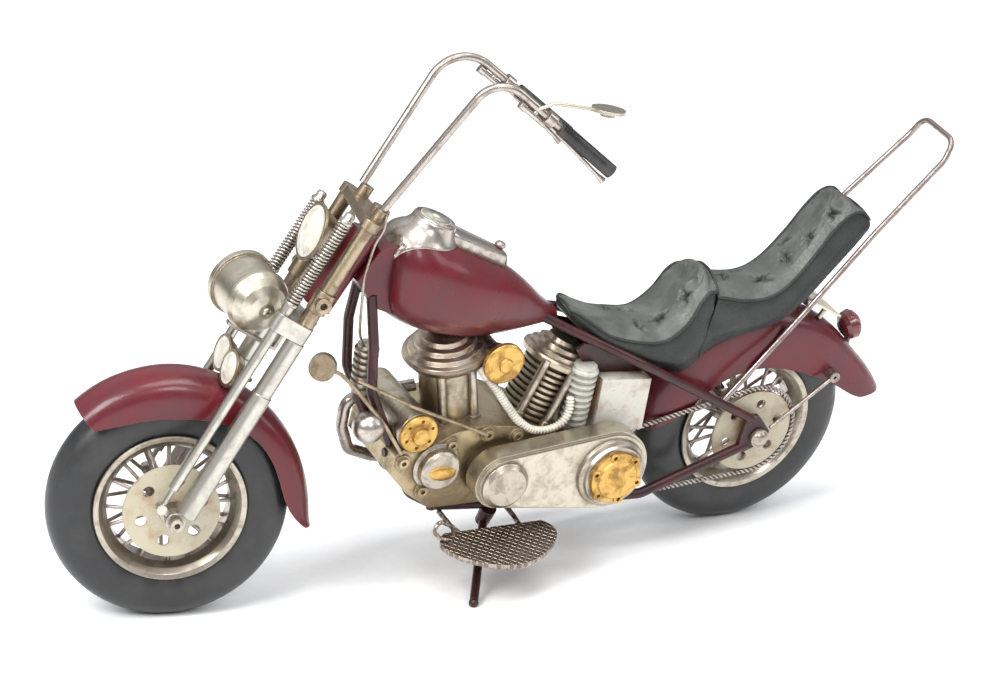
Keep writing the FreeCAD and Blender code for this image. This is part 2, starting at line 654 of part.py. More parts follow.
def make_generator():
    parts = {}
    centre = at(100.0, 0, 79.0)
    barrel = [(-21.0, 0), (-21.0, 8.8), (-19.0, 8.8), (-18.0, 8.2), (20.0, 8.2), (20.0, 0)]
    parts["generator_barrel"] = spun(barrel, centre, Y, Z)
    lid = [(-21.0, 0), (-21.0, 8.6), (-22.4, 8.6), (-22.9, 8.0)]
    lid += [(-22.9, 3.9), (-25.0, 3.5), (-25.0, 0)]
    face = spun(lid, centre, Y, Z)
    for k in range(6):
        hole = centre + wheel_radial(60.0 * k + 8) * 6.2
        face = face.cut(rod(hole - Y * 26, hole - Y * 22.0, 0.75))
    parts["generator_cover"] = face
    boss_centre = at(110.5, 0, 61.6)
    stepped = [(-21.0, 0), (-21.0, 11.0), (-22.0, 10.8), (-22.6, 9.4)]
    stepped += [(-25.6, 9.0), (-26.6, 8.0), (-26.6, 0)]
    timing = spun(stepped, boss_centre, Y, Z)
    parts["timing_cover"] = timing
    oval = ball(at(0, 0, 0), 1.0)
    matrix = FreeCAD.Matrix()
    matrix.scale(6.2, 1.5, 3.4)
    oval = oval.transformGeometry(matrix)
    oval.rotate(at(0, 0, 0), Y, 8)
    oval.translate(at(110.9, -26.6, 61.0))
    lower_half = oval.common(Part.makeBox(20, 4, 20, at(101, -30.6, 51)))
    parts["timing_cap"] = lower_half
    return parts


PRIMARY_FRONT = FreeCAD.Vector(136.0, 0, 56.6)
PRIMARY_REAR = FreeCAD.Vector(187.0, 0, 54.4)
PRIMARY_OUTER = -35.0
PRIMARY_INNER = -24.6


def racetrack(front_r, rear_r, y_from, y_to):
    """A cover whose outline is two rounds and the flat sides tangent to them."""
    span = PRIMARY_REAR - PRIMARY_FRONT
    lean = math.degrees(math.atan2(span.z, span.x))
    spread = math.degrees(math.acos((front_r - rear_r) / span.Length))
    corners = []
    for centre, radius, sign in ((PRIMARY_FRONT, front_r, 1), (PRIMARY_REAR, rear_r, 1),
                                 (PRIMARY_REAR, rear_r, -1), (PRIMARY_FRONT, front_r, -1)):
        angle = math.radians(lean + sign * spread)
        corners.append(centre + at(math.cos(angle), 0, math.sin(angle)) * radius)
    flat = Part.Face(Part.makePolygon(corners + corners[:1])).extrude(at(0, y_to - y_from, 0))
    front = rod(PRIMARY_FRONT, PRIMARY_FRONT + Y * (y_to - y_from), front_r)
    rear = rod(PRIMARY_REAR, PRIMARY_REAR + Y * (y_to - y_from), rear_r)
    return joined([flat, front, rear]).translated(at(0, y_from, 0))


def make_primary():
    parts = {}
    body = racetrack(12.4, 18.6, PRIMARY_OUTER + 1.6, PRIMARY_INNER)
    raised = racetrack(11.2, 17.4, PRIMARY_OUTER, PRIMARY_OUTER + 1.6)
    parts["primary_cover"] = joined([body, raised])
    parts["primary_spacer"] = racetrack(9.0, 14.0, PRIMARY_INNER, CASE_Y)
    front = PRIMARY_FRONT + Y * PRIMARY_OUTER
    cap = [(0, 0), (0, 10.6), (-1.6, 10.6), (-2.6, 9.4), (-3.4, 8.6), (-4.0, 0)]
    parts["primary_front_cap"] = spun(cap, front, Y, Z)
    rear = PRIMARY_REAR + Y * PRIMARY_OUTER
    surround = [(0, 11.9), (0, 16.0), (-1.6, 15.6), (-2.6, 14.2), (-4.0, 13.6), (-4.0, 11.9)]
    parts["clutch_ring"] = spun(surround, rear, Y, Z)
    dome = [(0, 0), (0, 11.8), (-4.0, 11.8), (-5.6, 11.6), (-6.2, 9.6), (-7.2, 8.8), (-7.8, 0)]
    gold = spun(dome, rear, Y, Z)
    ears = []
    for k in range(6):
        middle = rear + wheel_radial(60.0 * k - 12) * 10.6 - Y * 4.0
        ear = rod(middle, middle - Y * 2.4, 2.1)
        ears.append(ear)
    gold = joined([gold] + ears)
    for k in range(6):
        middle = rear + wheel_radial(60.0 * k - 12) * 10.6
        gold = gold.cut(rod(middle - Y * 7.0, middle - Y * 5.0, 0.9))
    parts["clutch_cover"] = gold
    return parts


def make_intake():
    parts = {}
    centre = at(137.2, 0, 105.6)
    disc = [(-17.0, 0), (-17.0, 8.4), (-18.2, 9.2), (-20.0, 9.2), (-20.8, 8.2)]
    disc += [(-21.0, 3.2), (-22.0, 2.8), (-22.0, 0)]
    parts["air_cleaner"] = spun(disc, centre, Y, Z)
    body = [(-17.0, 0), (-17.0, 5.4), (-11.0, 5.4), (-9.0, 4.0), (2.0, 4.0), (2.0, 0)]
    parts["carburettor"] = spun(body, centre, Y, Z)
    hose = [(131.4, -17.4, 99.0), (138.4, -18.8, 90.0), (148.4, -20.2, 77.6), (162.0, -20.4, 71.2)]
    hose += [(171.6, -19.8, 72.6), (172.6, -18.0, 84.0)]
    parts["breather_hose"] = tube([at(*p) for p in hose], 1.9, 7.0)
    parts["hose_elbow"] = ring(at(131.8, -17.5, 98.5), at(128.8, -15.0, 103.0), 2.6, 0.8)
    return parts


def make_oil_side():
    parts = {}
    tank = plate([(185.5, 64.0), (209.5, 63.0), (210.5, 87.5), (186.5, 90.5)], -19.5, 16.0)
    parts["oil_tank"] = tank
    ribs = [(0, 0)]
    for k in range(9):
        low = 1.0 + 3.0 * k
        ribs += [(low, 5.2), (low + 0.6, 6.2), (low + 1.6, 6.2), (low + 2.2, 5.2)]
    ribs.insert(1, (0, 5.2))
    ribs += [(28.6, 5.2), (28.6, 0)]
    along = at(0.1, 0, 1).normalize()
    across = at(1, 0, -0.1).normalize()
    parts["oil_filter"] = spun(ribs, at(177.0, -14.5, 68.0), along, across)
    gearbox = [(166.0, 40.0), (205.0, 37.0), (209.0, 58.0), (206.0, 62.8), (176.0, 63.4), (170.5, 60.0)]
    boss = rod(at(188.0, -24.6, 46.0), at(188.0, -12.0, 46.0), 7.5)
    parts["gearbox"] = joined([plate(gearbox, -12.4, 18.0), boss])
    return parts


def make_exhaust():
    run = [(114.0, 11.0, 82.0), (95.0, 17.0, 77.0), (86.0, 18.2, 74.5)]
    run += [(85.4, 18.4, 62.0), (90.0, 18.8, 50.0)]
    run += [(103.0, 22.5, 42.5), (124.0, 26.0, 35.0), (182.0, 27.0, 33.0)]
    pipe = tube([at(*p) for p in run], 2.6, 7.0)
    muffler = taper(at(182.0, 27.0, 33.0), at(203.0, 27.7, 32.3), 2.6, 4.2)
    muffler = muffler.cut(rod(at(197.0, 27.5, 32.5), at(206.0, 27.8, 32.2), 3.0))
    return {"exhaust_pipe": pipe, "exhaust_tip": muffler}


def make_horn():
    parts = {}
    centre = at(77.2, -19.5, 84.6)
    facing = at(-0.25, -1.0, 0.12).normalize()
    shell = ball(centre, 6.8).common(rod(centre - facing * 1.0, centre + facing * 8.0, 6.7))
    bowl = taper(centre - facing * 4.4, centre - facing * 1.0, 3.0, 6.7)
    parts["horn"] = joined([shell, bowl])
    parts["horn_bracket"] = rod(centre - facing * 4.0, at(82.4, -12.4, 88.0), 1.2)
    ribs = [(0, 0), (0, 4.0)]
    for k in range(7):
        low = 1.0 + 3.0 * k
        ribs += [(low, 4.0), (low + 0.5, 5.2), (low + 1.7, 5.2), (low + 2.2, 4.0)]
    ribs += [(22.8, 4.0), (22.8, 0)]
    parts["regulator"] = spun(ribs, at(83.0, 0, 89.6), Z, X)
    return parts


def make_footboard():
    parts = {}
    arc_mid = at(137.0, -56.5, 0)
    inner = [at(161.0, -27.8, 0), at(116.0, -26.0, 0)]
    low, high = 28.4, 30.4
    edge_points = [inner[1] + Z * low, at(111.0, -33.0, low), at(119.0, -49.0, low), arc_mid + Z * low]
    edge_points += [at(156.0, -47.5, low), at(164.0, -35.0, low), inner[0] + Z * low]
    edges = [smooth_curve(edge_points), Part.LineSegment(inner[0] + Z * low, inner[1] + Z * low).toShape()]
    board = Part.Face(Part.Wire(edges)).extrude(Z * (high - low))
    parts["footboard"] = board
    hangers = []
    for x, inner_x in ((122.0, 122.0), (148.0, 152.0)):
        route = [at(inner_x - 2.0, -12.0, 32.4), at(inner_x, -20.0, 29.6)]
        route += [at(x + 4, -32.0, 27.4), at(x + 5, -44.0, 27.4)]
        hangers.append(tube(route, 1.1, 5.0))
    parts["footboard_hangers"] = group(hangers)
    loop = [at(119.5, -28.5, 30.4), at(118.0, -28.5, 35.0), at(112.0, -28.5, 38.5), at(108.5, -29.5, 35.0)]
    loop += [at(111.5, -31.0, 31.6), at(114.5, -33.0, 31.6)]
    parts["toe_loop"] = tube(loop, 0.9, 2.2)
    return parts


def make_controls():
    parts = {}
    centre = at(55.4, -15.0, 113.4)
    facing = at(-0.52, -0.80, 0.30).normalize()
    bulge = ball(centre - facing * 3.6, 6.6)
    bulge = bulge.common(rod(centre - facing * 4.0, centre - facing * 1.8, 5.6))
    pad = joined([rod(centre - facing * 1.8, centre + facing * 1.8, 5.6), bulge])
    back = centre - facing * 3.0
    way = [back, at(64.5, -15.0, 108.6), at(69.2, -19.0, 104.0)]
    way += [at(83.6, -22.4, 85.6), at(92.6, -22.6, 71.0)]
    arm = tube(way, 0.85, 5.0)
    parts["pedal_pad"] = pad
    parts["pedal_arm"] = only_big(arm.cut(pad))
    link = tube([at(69.4, -20.4, 108.2), at(96.0, -21.8, 92.4), at(131.6, -23.6, 74.6)], 0.75, 40.0)
    parts["linkage_rod"] = link
    return parts


# ---- chain and sprocket ----
def make_chain():
    front = at(190.0, CHAIN_Y, 40.8)
    rear = at(WHEELBASE, CHAIN_Y, TYRE_R)
    front_r = 15.4
    rear_r = SPROCKET_R + CHAIN_R + 0.35
    span = rear - front
    lean = math.atan2(span.z, span.x)
    spread = math.acos((front_r - rear_r) / span.Length)
    up_front = front + at(math.cos(lean + spread), 0, math.sin(lean + spread)) * front_r
    up_rear = rear + at(math.cos(lean + spread), 0, math.sin(lean + spread)) * rear_r
    low_front = front + at(math.cos(lean - spread), 0, math.sin(lean - spread)) * front_r
    low_rear = rear + at(math.cos(lean - spread), 0, math.sin(lean - spread)) * rear_r
    far_rear = rear + at(math.cos(lean), 0, math.sin(lean)) * rear_r
    far_front = front - at(math.cos(lean), 0, math.sin(lean)) * front_r
    edges = [Part.LineSegment(up_front, up_rear).toShape()]
    edges.append(Part.Arc(up_rear, far_rear, low_rear).toShape())
    edges.append(Part.LineSegment(low_rear, low_front).toShape())
    edges.append(Part.Arc(low_front, far_front, up_front).toShape())
    route = Part.Wire(edges)
    circle = Part.Circle(up_front, up_rear - up_front, CHAIN_R).toShape()
    return {"drive_chain": route.makePipeShell([Part.Wire([circle])], True, True)}


# ---- seat and tail ----
# (x, underside z, edge z, crown z, half-width at the edge, half-width at the underside)
FRONT_SEAT = [(173.6, 115.4, 118.4, 119.6, 6.0, 5.6), (176.4, 111.6, 117.8, 120.6, 9.0, 8.6)]
FRONT_SEAT += [(182.0, 108.2, 114.0, 118.0, 12.6, 12.4), (190.0, 102.8, 108.6, 113.6, 15.0, 14.8)]
FRONT_SEAT += [(203.0, 96.0, 104.6, 109.6, 16.4, 16.6), (216.0, 90.8, 103.2, 108.6, 16.6, 17.0)]
FRONT_SEAT += [(226.0, 87.6, 109.6, 116.8, 16.4, 17.0), (232.0, 90.6, 119.0, 126.8, 15.4, 17.0)]
FRONT_SEAT += [(236.6, 95.0, 122.6, 130.0, 14.0, 17.0), (241.5, 98.0, 121.0, 127.4, 12.6, 16.6)]
REAR_SEAT = [(229.0, 90.0, 119.6, 123.0, 14.0, 16.8), (242.0, 98.0, 119.6, 123.4, 14.0, 16.4)]
REAR_SEAT += [(254.0, 100.6, 116.2, 121.2, 13.6, 16.0), (267.0, 102.4, 115.6, 120.6, 13.4, 15.4)]
REAR_SEAT += [(277.0, 105.6, 120.6, 126.0, 13.0, 14.6), (287.0, 113.4, 132.0, 137.6, 12.4, 13.8)]
REAR_SEAT += [(295.6, 122.6, 144.0, 149.4, 12.2, 13.4), (302.4, 130.2, 150.4, 155.2, 12.2, 13.2)]
REAR_SEAT += [(308.4, 137.0, 151.0, 153.6, 12.0, 13.0), (313.4, 142.8, 146.6, 148.2, 11.4, 12.4)]
SEAM = [(232.6, 80.0), (234.4, 98.0), (241.6, 122.0), (241.6, 140.0)]


def seat_section(x, under, edge, crown, half, half_under):
    arc = Part.Arc(at(x, half, edge), at(x, 0, crown), at(x, -half, edge)).toShape()
    corners = [at(x, -half, edge), at(x, -half_under, under), at(x, half_under, under), at(x, half, edge)]
    edges = [arc] + [Part.LineSegment(a, b).toShape() for a, b in zip(corners, corners[1:])]
    return Part.Wire(edges)


def make_seat():
    """Two padded cushions that meet at a seam and straddle the rear fender without touching it."""
    parts = {}
    front = Part.makeLoft([seat_section(*row) for row in FRONT_SEAT], True, False)
    rear = Part.makeLoft([seat_section(*row) for row in REAR_SEAT], True, False)
    wheel_space = [(-13.0, 0), (-13.0, 50.0), (-9.0, 56.0), (0, 58.0), (9.0, 56.0), (13.0, 50.0), (13.0, 0)]
    arch_space = wheel_turn(wheel_space, REAR_AXLE)
    ahead = plate([(150.0, 80.0)] + SEAM + [(150.0, 140.0)], -30.0, 30.0)
    behind = plate([(x + 0.3, z) for x, z in SEAM] + [(330.0, 140.0), (330.0, 80.0)], -30.0, 30.0)
    top = Part.makeBox(120.0, 60.0, 40.0, at(241.9, -30.0, 140.0))
    parts["seat_front"] = only_big(front.common(ahead).cut(arch_space), 50.0)
    parts["seat_rear"] = only_big(rear.common(behind.fuse(top)).cut(arch_space), 50.0)
    return parts


def make_sissy_bar():
    side = [(249.0, 19.0, 70.4), (283.6, 17.2, 107.1), (314.7, 15.6, 142.2), (345.0, 13.6, 172.4)]
    points = [at(x, -y, z) for x, y, z in side]
    points += [at(349.6, -11.6, 180.4), at(349.6, 11.6, 180.4)]
    points += [at(x, y, z) for x, y, z in reversed(side)]
    return {"sissy_bar": tube(points, 1.25, 12.0)}


def make_tail():
    parts = {}
    strut = rod(at(276.0, -18.9, 52.6), at(304.6, -16.6, 71.2), 0.9)
    eye = ring(at(306.6, -17.6, 72.4), at(306.6, -FENDER_HALF, 72.4), 2.4, 0.8)
    strut = strut.cut(rod(at(306.6, -19.0, 72.4), at(306.6, 0, 72.4), 2.0))
    rail = rod(at(262.4, -13.7, 76.4), at(279.6, -13.7, 99.6), 0.9)
    parts["fender_struts"] = both_sides(joined([strut, eye]))
    parts["fender_rails"] = both_sides(rail)
    slope = at(0.867, 0, -0.498)
    normal = at(0.498, 0, 0.867)
    centre = at(299.6, 0, 104.0)
    corners = [centre + slope * a + Y * b for a, b in ((-8.8, -12), (8.8, -12), (8.8, 12), (-8.8, 12))]
    parts["licence_plate"] = Part.Face(Part.makePolygon(corners + corners[:1])).extrude(normal * 1.0)
    legs = []
    for side in (-6.0, 6.0):
        top = centre + slope * 4.0 + Y * side
        legs.append(rod(top, top - normal * 5.5, 1.2))
    parts["plate_bracket"] = group(legs)
    lamp = at(321.4, 0, 87.6)
    axis = at(0.955, 0, 0.297).normalize()
    cross = at(-0.297, 0, 0.955).normalize()
    body = [(-4.6, 0), (-4.4, 2.8), (-3.2, 5.2), (-1.4, 6.4), (1.6, 6.8), (1.6, 0)]
    parts["tail_lamp_body"] = spun(body, lamp, axis, cross)
    lens = [(1.6, 0), (1.6, 6.4), (3.0, 5.8), (4.4, 4.0), (5.0, 0)]
    parts["tail_lamp_lens"] = spun(lens, lamp, axis, cross)
    parts["tail_lamp_stem"] = rod(lamp - cross * 5.6 - axis * 1.0, lamp - cross * 12.6 - axis * 4.0, 1.5)
    return parts


# ---- side stand ----
STAND_PIVOT = FreeCAD.Vector(143.0, -12.0, 26.5)
STAND_AXIS = FreeCAD.Vector(-0.02, -0.44, 0.90)
STAND_FOOT = FreeCAD.Vector(120.6, -50.0, 10.05)


def make_stand():
    parts = {}
    axis = STAND_AXIS.normalize()
    pin_low = STAND_PIVOT - axis * 4.4
    pin_high = STAND_PIVOT + axis * 4.6
    pin = rod(pin_low, pin_high, 1.3)
    pin_head = rod(pin_low, pin_low - axis * 1.0, 2.4)
    eye = ring(STAND_PIVOT - axis * 4.2, STAND_PIVOT + axis * 0.2, 3.2, 1.3 + RUNNING_GAP)
    reach = (STAND_FOOT - STAND_PIVOT)
    start = STAND_PIVOT - axis * 2.0 + reach.normalize() * 2.4
    leg = rod(start, STAND_FOOT - reach.normalize() * 1.2, 1.9)
    leg = leg.cut(rod(pin_low, pin_high, 1.3 + RUNNING_GAP))
    parts["stand_leg"] = only_big(joined([eye, leg]))
    parts["stand_pin"] = joined([pin, pin_head])
    bracket = rod(STAND_PIVOT + axis * 0.5, STAND_PIVOT + axis * 5.6, 3.4)
    parts["stand_bracket"] = bracket
    return parts


def make_stand_foot():
    return {"stand_foot": ball(STAND_FOOT, 2.1)}


# ---- putting it together ----
def make_mounts():
    """Blocks that hold the engine and the gearbox on the cradle tubes."""
    blocks = []
    for side in (-12.0, 12.0):
        blocks.append(rod(at(116.0, side, 34.4), at(116.0, side, 42.0), 2.0))
        blocks.append(rod(at(152.0, side, 30.4), at(152.0, side, 41.0), 2.0))
        blocks.append(rod(at(192.0, side * 1.25, 28.0), at(192.0, side * 0.95, 40.0), 2.0))
        blocks.append(rod(at(90.0, side, 66.0), at(97.0, side, 66.0), 1.8))
    blocks.append(rod(at(196.0, 0, 60.0), at(196.0, 0, 66.0), 4.0))
    blocks.append(rod(at(180.0, -14.0, 82.0), at(188.0, -14.0, 82.0), 1.6))
    blocks.append(rod(at(120.0, 0, 109.0), at(119.0, 0, 118.0), 2.4))
    return {"engine_mounts": group(blocks)}


def make_cable():
    """The throttle wire: from behind the left bar, past the neck, down to the top of the regulator."""
    route = [at(75.0, -17.2, 181.0), at(73.9, -17.8, 175.0), at(71.6, -17.0, 169.0), at(71.2, -14.6, 160.5)]
    route += [at(71.2, -12.0, 151.0), at(72.2, -10.5, 140.5), at(75.4, -6.0, 122.0), at(81.0, -1.2, 111.5)]
    return {"control_cable": tube(route, 0.6, 6.0)}


def chassis_parts():
    parts = {}
    parts.update(make_rear_axle())
    parts.update(make_frame())
    parts.update(make_crankcase())
    parts.update(make_generator())
    parts.update(make_primary())
    parts.update(make_oil_side())
    parts.update(make_front_cylinder())
    parts.update(make_rear_cylinder())
    tank = make_tank()
    parts.update(tank)
    parts.update(make_dash(tank["fuel_tank"]))
    parts.update(make_intake())
    parts.update(make_exhaust())
    parts.update(make_horn())
    parts.update(make_mounts())
    parts["rear_fender"] = make_rear_fender()
    parts.update(make_seat())
    parts.update(make_sissy_bar())
    parts.update(make_tail())
    parts.update(make_chain())
    parts.update(make_footboard())
    parts.update(make_controls())
    hinge = make_stand()
    parts["stand_bracket"] = hinge["stand_bracket"]
    parts["stand_pin"] = hinge["stand_pin"]
    parts.update(make_cable())
    return parts


def fork_parts():
    parts = {}
    parts.update(make_fork_legs())
    parts.update(make_springs())
    parts.update(make_clamps())
    parts.update(make_handlebar())
    parts.update(make_mirror())
    parts.update(make_lamp_bracket())
    parts.update(make_auxiliary_lamps())
    parts["front_fender"] = make_front_fender()
    return parts


def wheel_parts():
    front = make_wheel("front", FRONT_AXLE)
    front["front_disc"] = make_disc(FRONT_AXLE, -12.4, -11.2, DISC_R, 13.0, 2.4)
    rear = make_wheel("rear", REAR_AXLE)
    rear["rear_sprocket"] = make_disc(REAR_AXLE, -14.8, -13.6, SPROCKET_R, 13.0, 2.2)
    return front, rear


def stand_parts():
    parts = {"stand_leg": make_stand()["stand_leg"]}
    parts.update(make_stand_foot())
    return parts


def boxes_meet(one, other):
    a, b = one.BoundBox, other.BoundBox
    if a.XMin > b.XMax or b.XMin > a.XMax:
        return False
    if a.YMin > b.YMax or b.YMin > a.YMax:
        return False
    return a.ZMin <= b.ZMax and b.ZMin <= a.ZMax


def fitted(parts):
    """Trim each piece where an earlier piece of the same body already fills the space."""
    done = {}
    for name, shape in parts.items():
        neighbours = [solid for other in done.values() for solid in other.Solids]
        for solid in neighbours:
            if boxes_meet(shape, solid) and shape.common(solid).Volume > 1e-4:
                shape = shape.cut(solid)
        done[name] = only_big(shape)
    return done


def steered(shape):
    return turned(shape, HEAD_POINT, HEAD_UP, STEER)


def settled(shape):
    """Lean the machine to its left, level both tyres and bring them to the ground."""
    shape = turned(shape, at(0, 0, 0), X, LEAN)
    shape = turned(shape, at(0, 0, 0), Y, PITCH)
    return shape.translated(SHIFT)


# Pieces that are handled together, such as a wheel's hub and its disc, are exported as one node.
GROUPS = {
    "front_axle": ["front_axle", "front_axle_nuts"],
    "fork_legs": ["fork_lower_legs", "fork_stanchions"],
    "fork_rods": ["fork_front_rods", "spring_guides"],
    "fork_springs": ["fork_springs", "spring_caps"],
    "fork_clamps": ["lower_yoke", "pinch_collars"],
    "steering_head": ["top_yoke", "steering_stem", "bar_risers", "stem_nut"],
    "levers": ["levers", "lever_clamps"],
    "mirror": ["mirror", "mirror_stalk"],
    "headlight": ["headlight_bucket", "headlight_rim", "headlight_stud", "headlight_lens"],
    "front_hub": ["front_hub", "front_disc"],
    "frame_spine": ["neck", "backbone"],
    "cradle": ["cradle_left", "cradle_right", "cross_members", "engine_mounts"],
    "rear_stays": ["upper_stay_left", "upper_stay_right", "axle_plates", "side_gussets"],
    "rear_axle": ["rear_axle", "rear_axle_caps"],
    "dash": ["dash_console", "dash_dial", "dash_knob"],
    "case_covers": ["case_cover_left", "case_cover_right", "case_bolts"],
    "cylinders": ["front_cylinder", "rear_cylinder"],
    "rocker_covers": ["front_rocker_cover", "rear_rocker_cover"],
    "pushrod_tubes": ["front_pushrod_tubes", "rear_pushrod_tubes"],
    "generator": ["generator_barrel", "generator_cover"],
    "timing_cover": ["timing_cover", "timing_cap"],
    "primary_cover": ["primary_cover", "primary_spacer", "primary_front_cap"],
    "clutch_cover": ["clutch_cover", "clutch_ring"],
    "air_cleaner": ["air_cleaner", "carburettor"],
    "breather_hose": ["breather_hose", "hose_elbow"],
    "oil_tank": ["oil_tank", "oil_filter"],
    "front_electrics": ["regulator", "horn", "horn_bracket"],
    "exhaust": ["exhaust_pipe", "exhaust_tip"],
    "fender_struts": ["fender_struts", "fender_rails"],
    "licence_plate": ["licence_plate", "plate_bracket"],
    "tail_lamp": ["tail_lamp_body", "tail_lamp_lens", "tail_lamp_stem"],
    "footboard": ["footboard", "footboard_hangers", "toe_loop"],
    "foot_control": ["pedal_pad", "pedal_arm", "linkage_rod"],
    "stand_hinge": ["stand_bracket", "stand_pin"],
    "side_stand": ["stand_leg", "stand_foot"],
}


def grouped(nodes):
    taken = {name for members in GROUPS.values() for name in members}
    result = {name: shape for name, shape in nodes.items() if name not in taken}
    for name, members in GROUPS.items():
        result[name] = group([nodes[member] for member in members])
    return result


def on_the_ground(shape):
    """Flatten whatever reaches below the ground, as the foot of the side stand does."""
    ground = Part.makeBox(600.0, 400.0, 20.0, at(-300.0, -200.0, -20.0))
    return shape.cut(ground)


def make_all():
    front_wheel, rear_wheel = wheel_parts()
    bodies = [fitted(chassis_parts()), fitted(rear_wheel), fitted(stand_parts())]
    turning = [fitted(fork_parts()), fitted(make_lamps()), fitted(front_wheel)]
    nodes = {}
    for body in bodies:
        nodes.update(body)
    for body in turning:
        nodes.update({name: steered(shape) for name, shape in body.items()})
    nodes = {name: settled(shape) for name, shape in nodes.items()}
    nodes["stand_foot"] = on_the_ground(nodes["stand_foot"])
    return grouped(nodes)


def export_all():
    os.makedirs("parts", exist_ok=True)
    for name, shape in make_all().items():
        shape.exportStep("parts/" + name + ".step")


export_all()
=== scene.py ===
"""Looks of a tin display motorcycle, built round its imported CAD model: finishes, cushions, light, camera."""

import json
import math

import bpy
from mathutils import Matrix, Vector
from mathutils.bvhtree import BVHTree


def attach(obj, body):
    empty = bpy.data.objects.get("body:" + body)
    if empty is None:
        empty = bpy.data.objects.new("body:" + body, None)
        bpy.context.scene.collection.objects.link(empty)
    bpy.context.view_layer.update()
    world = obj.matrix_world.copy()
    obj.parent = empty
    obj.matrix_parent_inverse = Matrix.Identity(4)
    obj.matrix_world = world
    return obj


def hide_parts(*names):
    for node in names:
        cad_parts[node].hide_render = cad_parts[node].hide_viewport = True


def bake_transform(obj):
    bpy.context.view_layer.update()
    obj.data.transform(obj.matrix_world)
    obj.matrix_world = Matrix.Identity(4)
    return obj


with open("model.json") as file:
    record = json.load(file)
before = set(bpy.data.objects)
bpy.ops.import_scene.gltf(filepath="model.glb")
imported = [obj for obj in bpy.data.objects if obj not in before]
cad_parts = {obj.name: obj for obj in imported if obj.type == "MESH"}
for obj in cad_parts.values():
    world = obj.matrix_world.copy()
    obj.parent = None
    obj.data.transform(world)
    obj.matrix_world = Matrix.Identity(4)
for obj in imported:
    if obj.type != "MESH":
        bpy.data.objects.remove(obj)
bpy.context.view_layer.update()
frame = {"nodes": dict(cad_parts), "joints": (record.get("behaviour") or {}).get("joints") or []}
NODES = frame["nodes"]
MM = 0.001


# ---- the machine's own coordinates, in millimetres, as the CAD source has them ----
HEAD_OFFSET = 8.0
TYRE_R = 50.0
RAKE = 30.5


def joint_at(name):
    joint = next(j for j in frame["joints"] if j["name"] == name)
    return Vector(joint["pos_m"]), Vector(joint["axis"]).normalized()


def machine_frames():
    """Matrices from the straight machine's millimetres to the frame's metres: chassis, then steered fork."""
    head_pos, head_axis = joint_at("steering")
    rear_pos, across = joint_at("rear_wheel_spin")
    front_axis = joint_at("front_wheel_spin")[1]
    along = (rear_pos - head_pos).normalized()
    up = along.cross(across)
    origin = head_pos - (along * HEAD_OFFSET + up * TYRE_R) * MM
    basis = Matrix((along, across, up)).transposed().to_4x4()
    bike = Matrix.Translation(origin) @ basis @ Matrix.Scale(MM, 4)
    turn = math.atan2(across.cross(front_axis).dot(head_axis), across.dot(front_axis))
    about_head = Matrix.Translation(head_pos) @ Matrix.Rotation(turn, 4, head_axis)
    fork = about_head @ Matrix.Translation(-head_pos) @ bike
    return bike, fork


BIKE, FORK = machine_frames()
HEAD_POINT = Vector((HEAD_OFFSET, 0, TYRE_R))
HEAD_UP = Vector((math.sin(math.radians(RAKE)), 0, math.cos(math.radians(RAKE))))
HEAD_FORE = Vector((-HEAD_UP.z, 0, HEAD_UP.x))


def head(along, fore, side=0.0):
    """A point of the fork, by its way up the steering axis, its lead over it and its side."""
    return HEAD_POINT + HEAD_UP * along + HEAD_FORE * fore + Vector((0, side, 0))


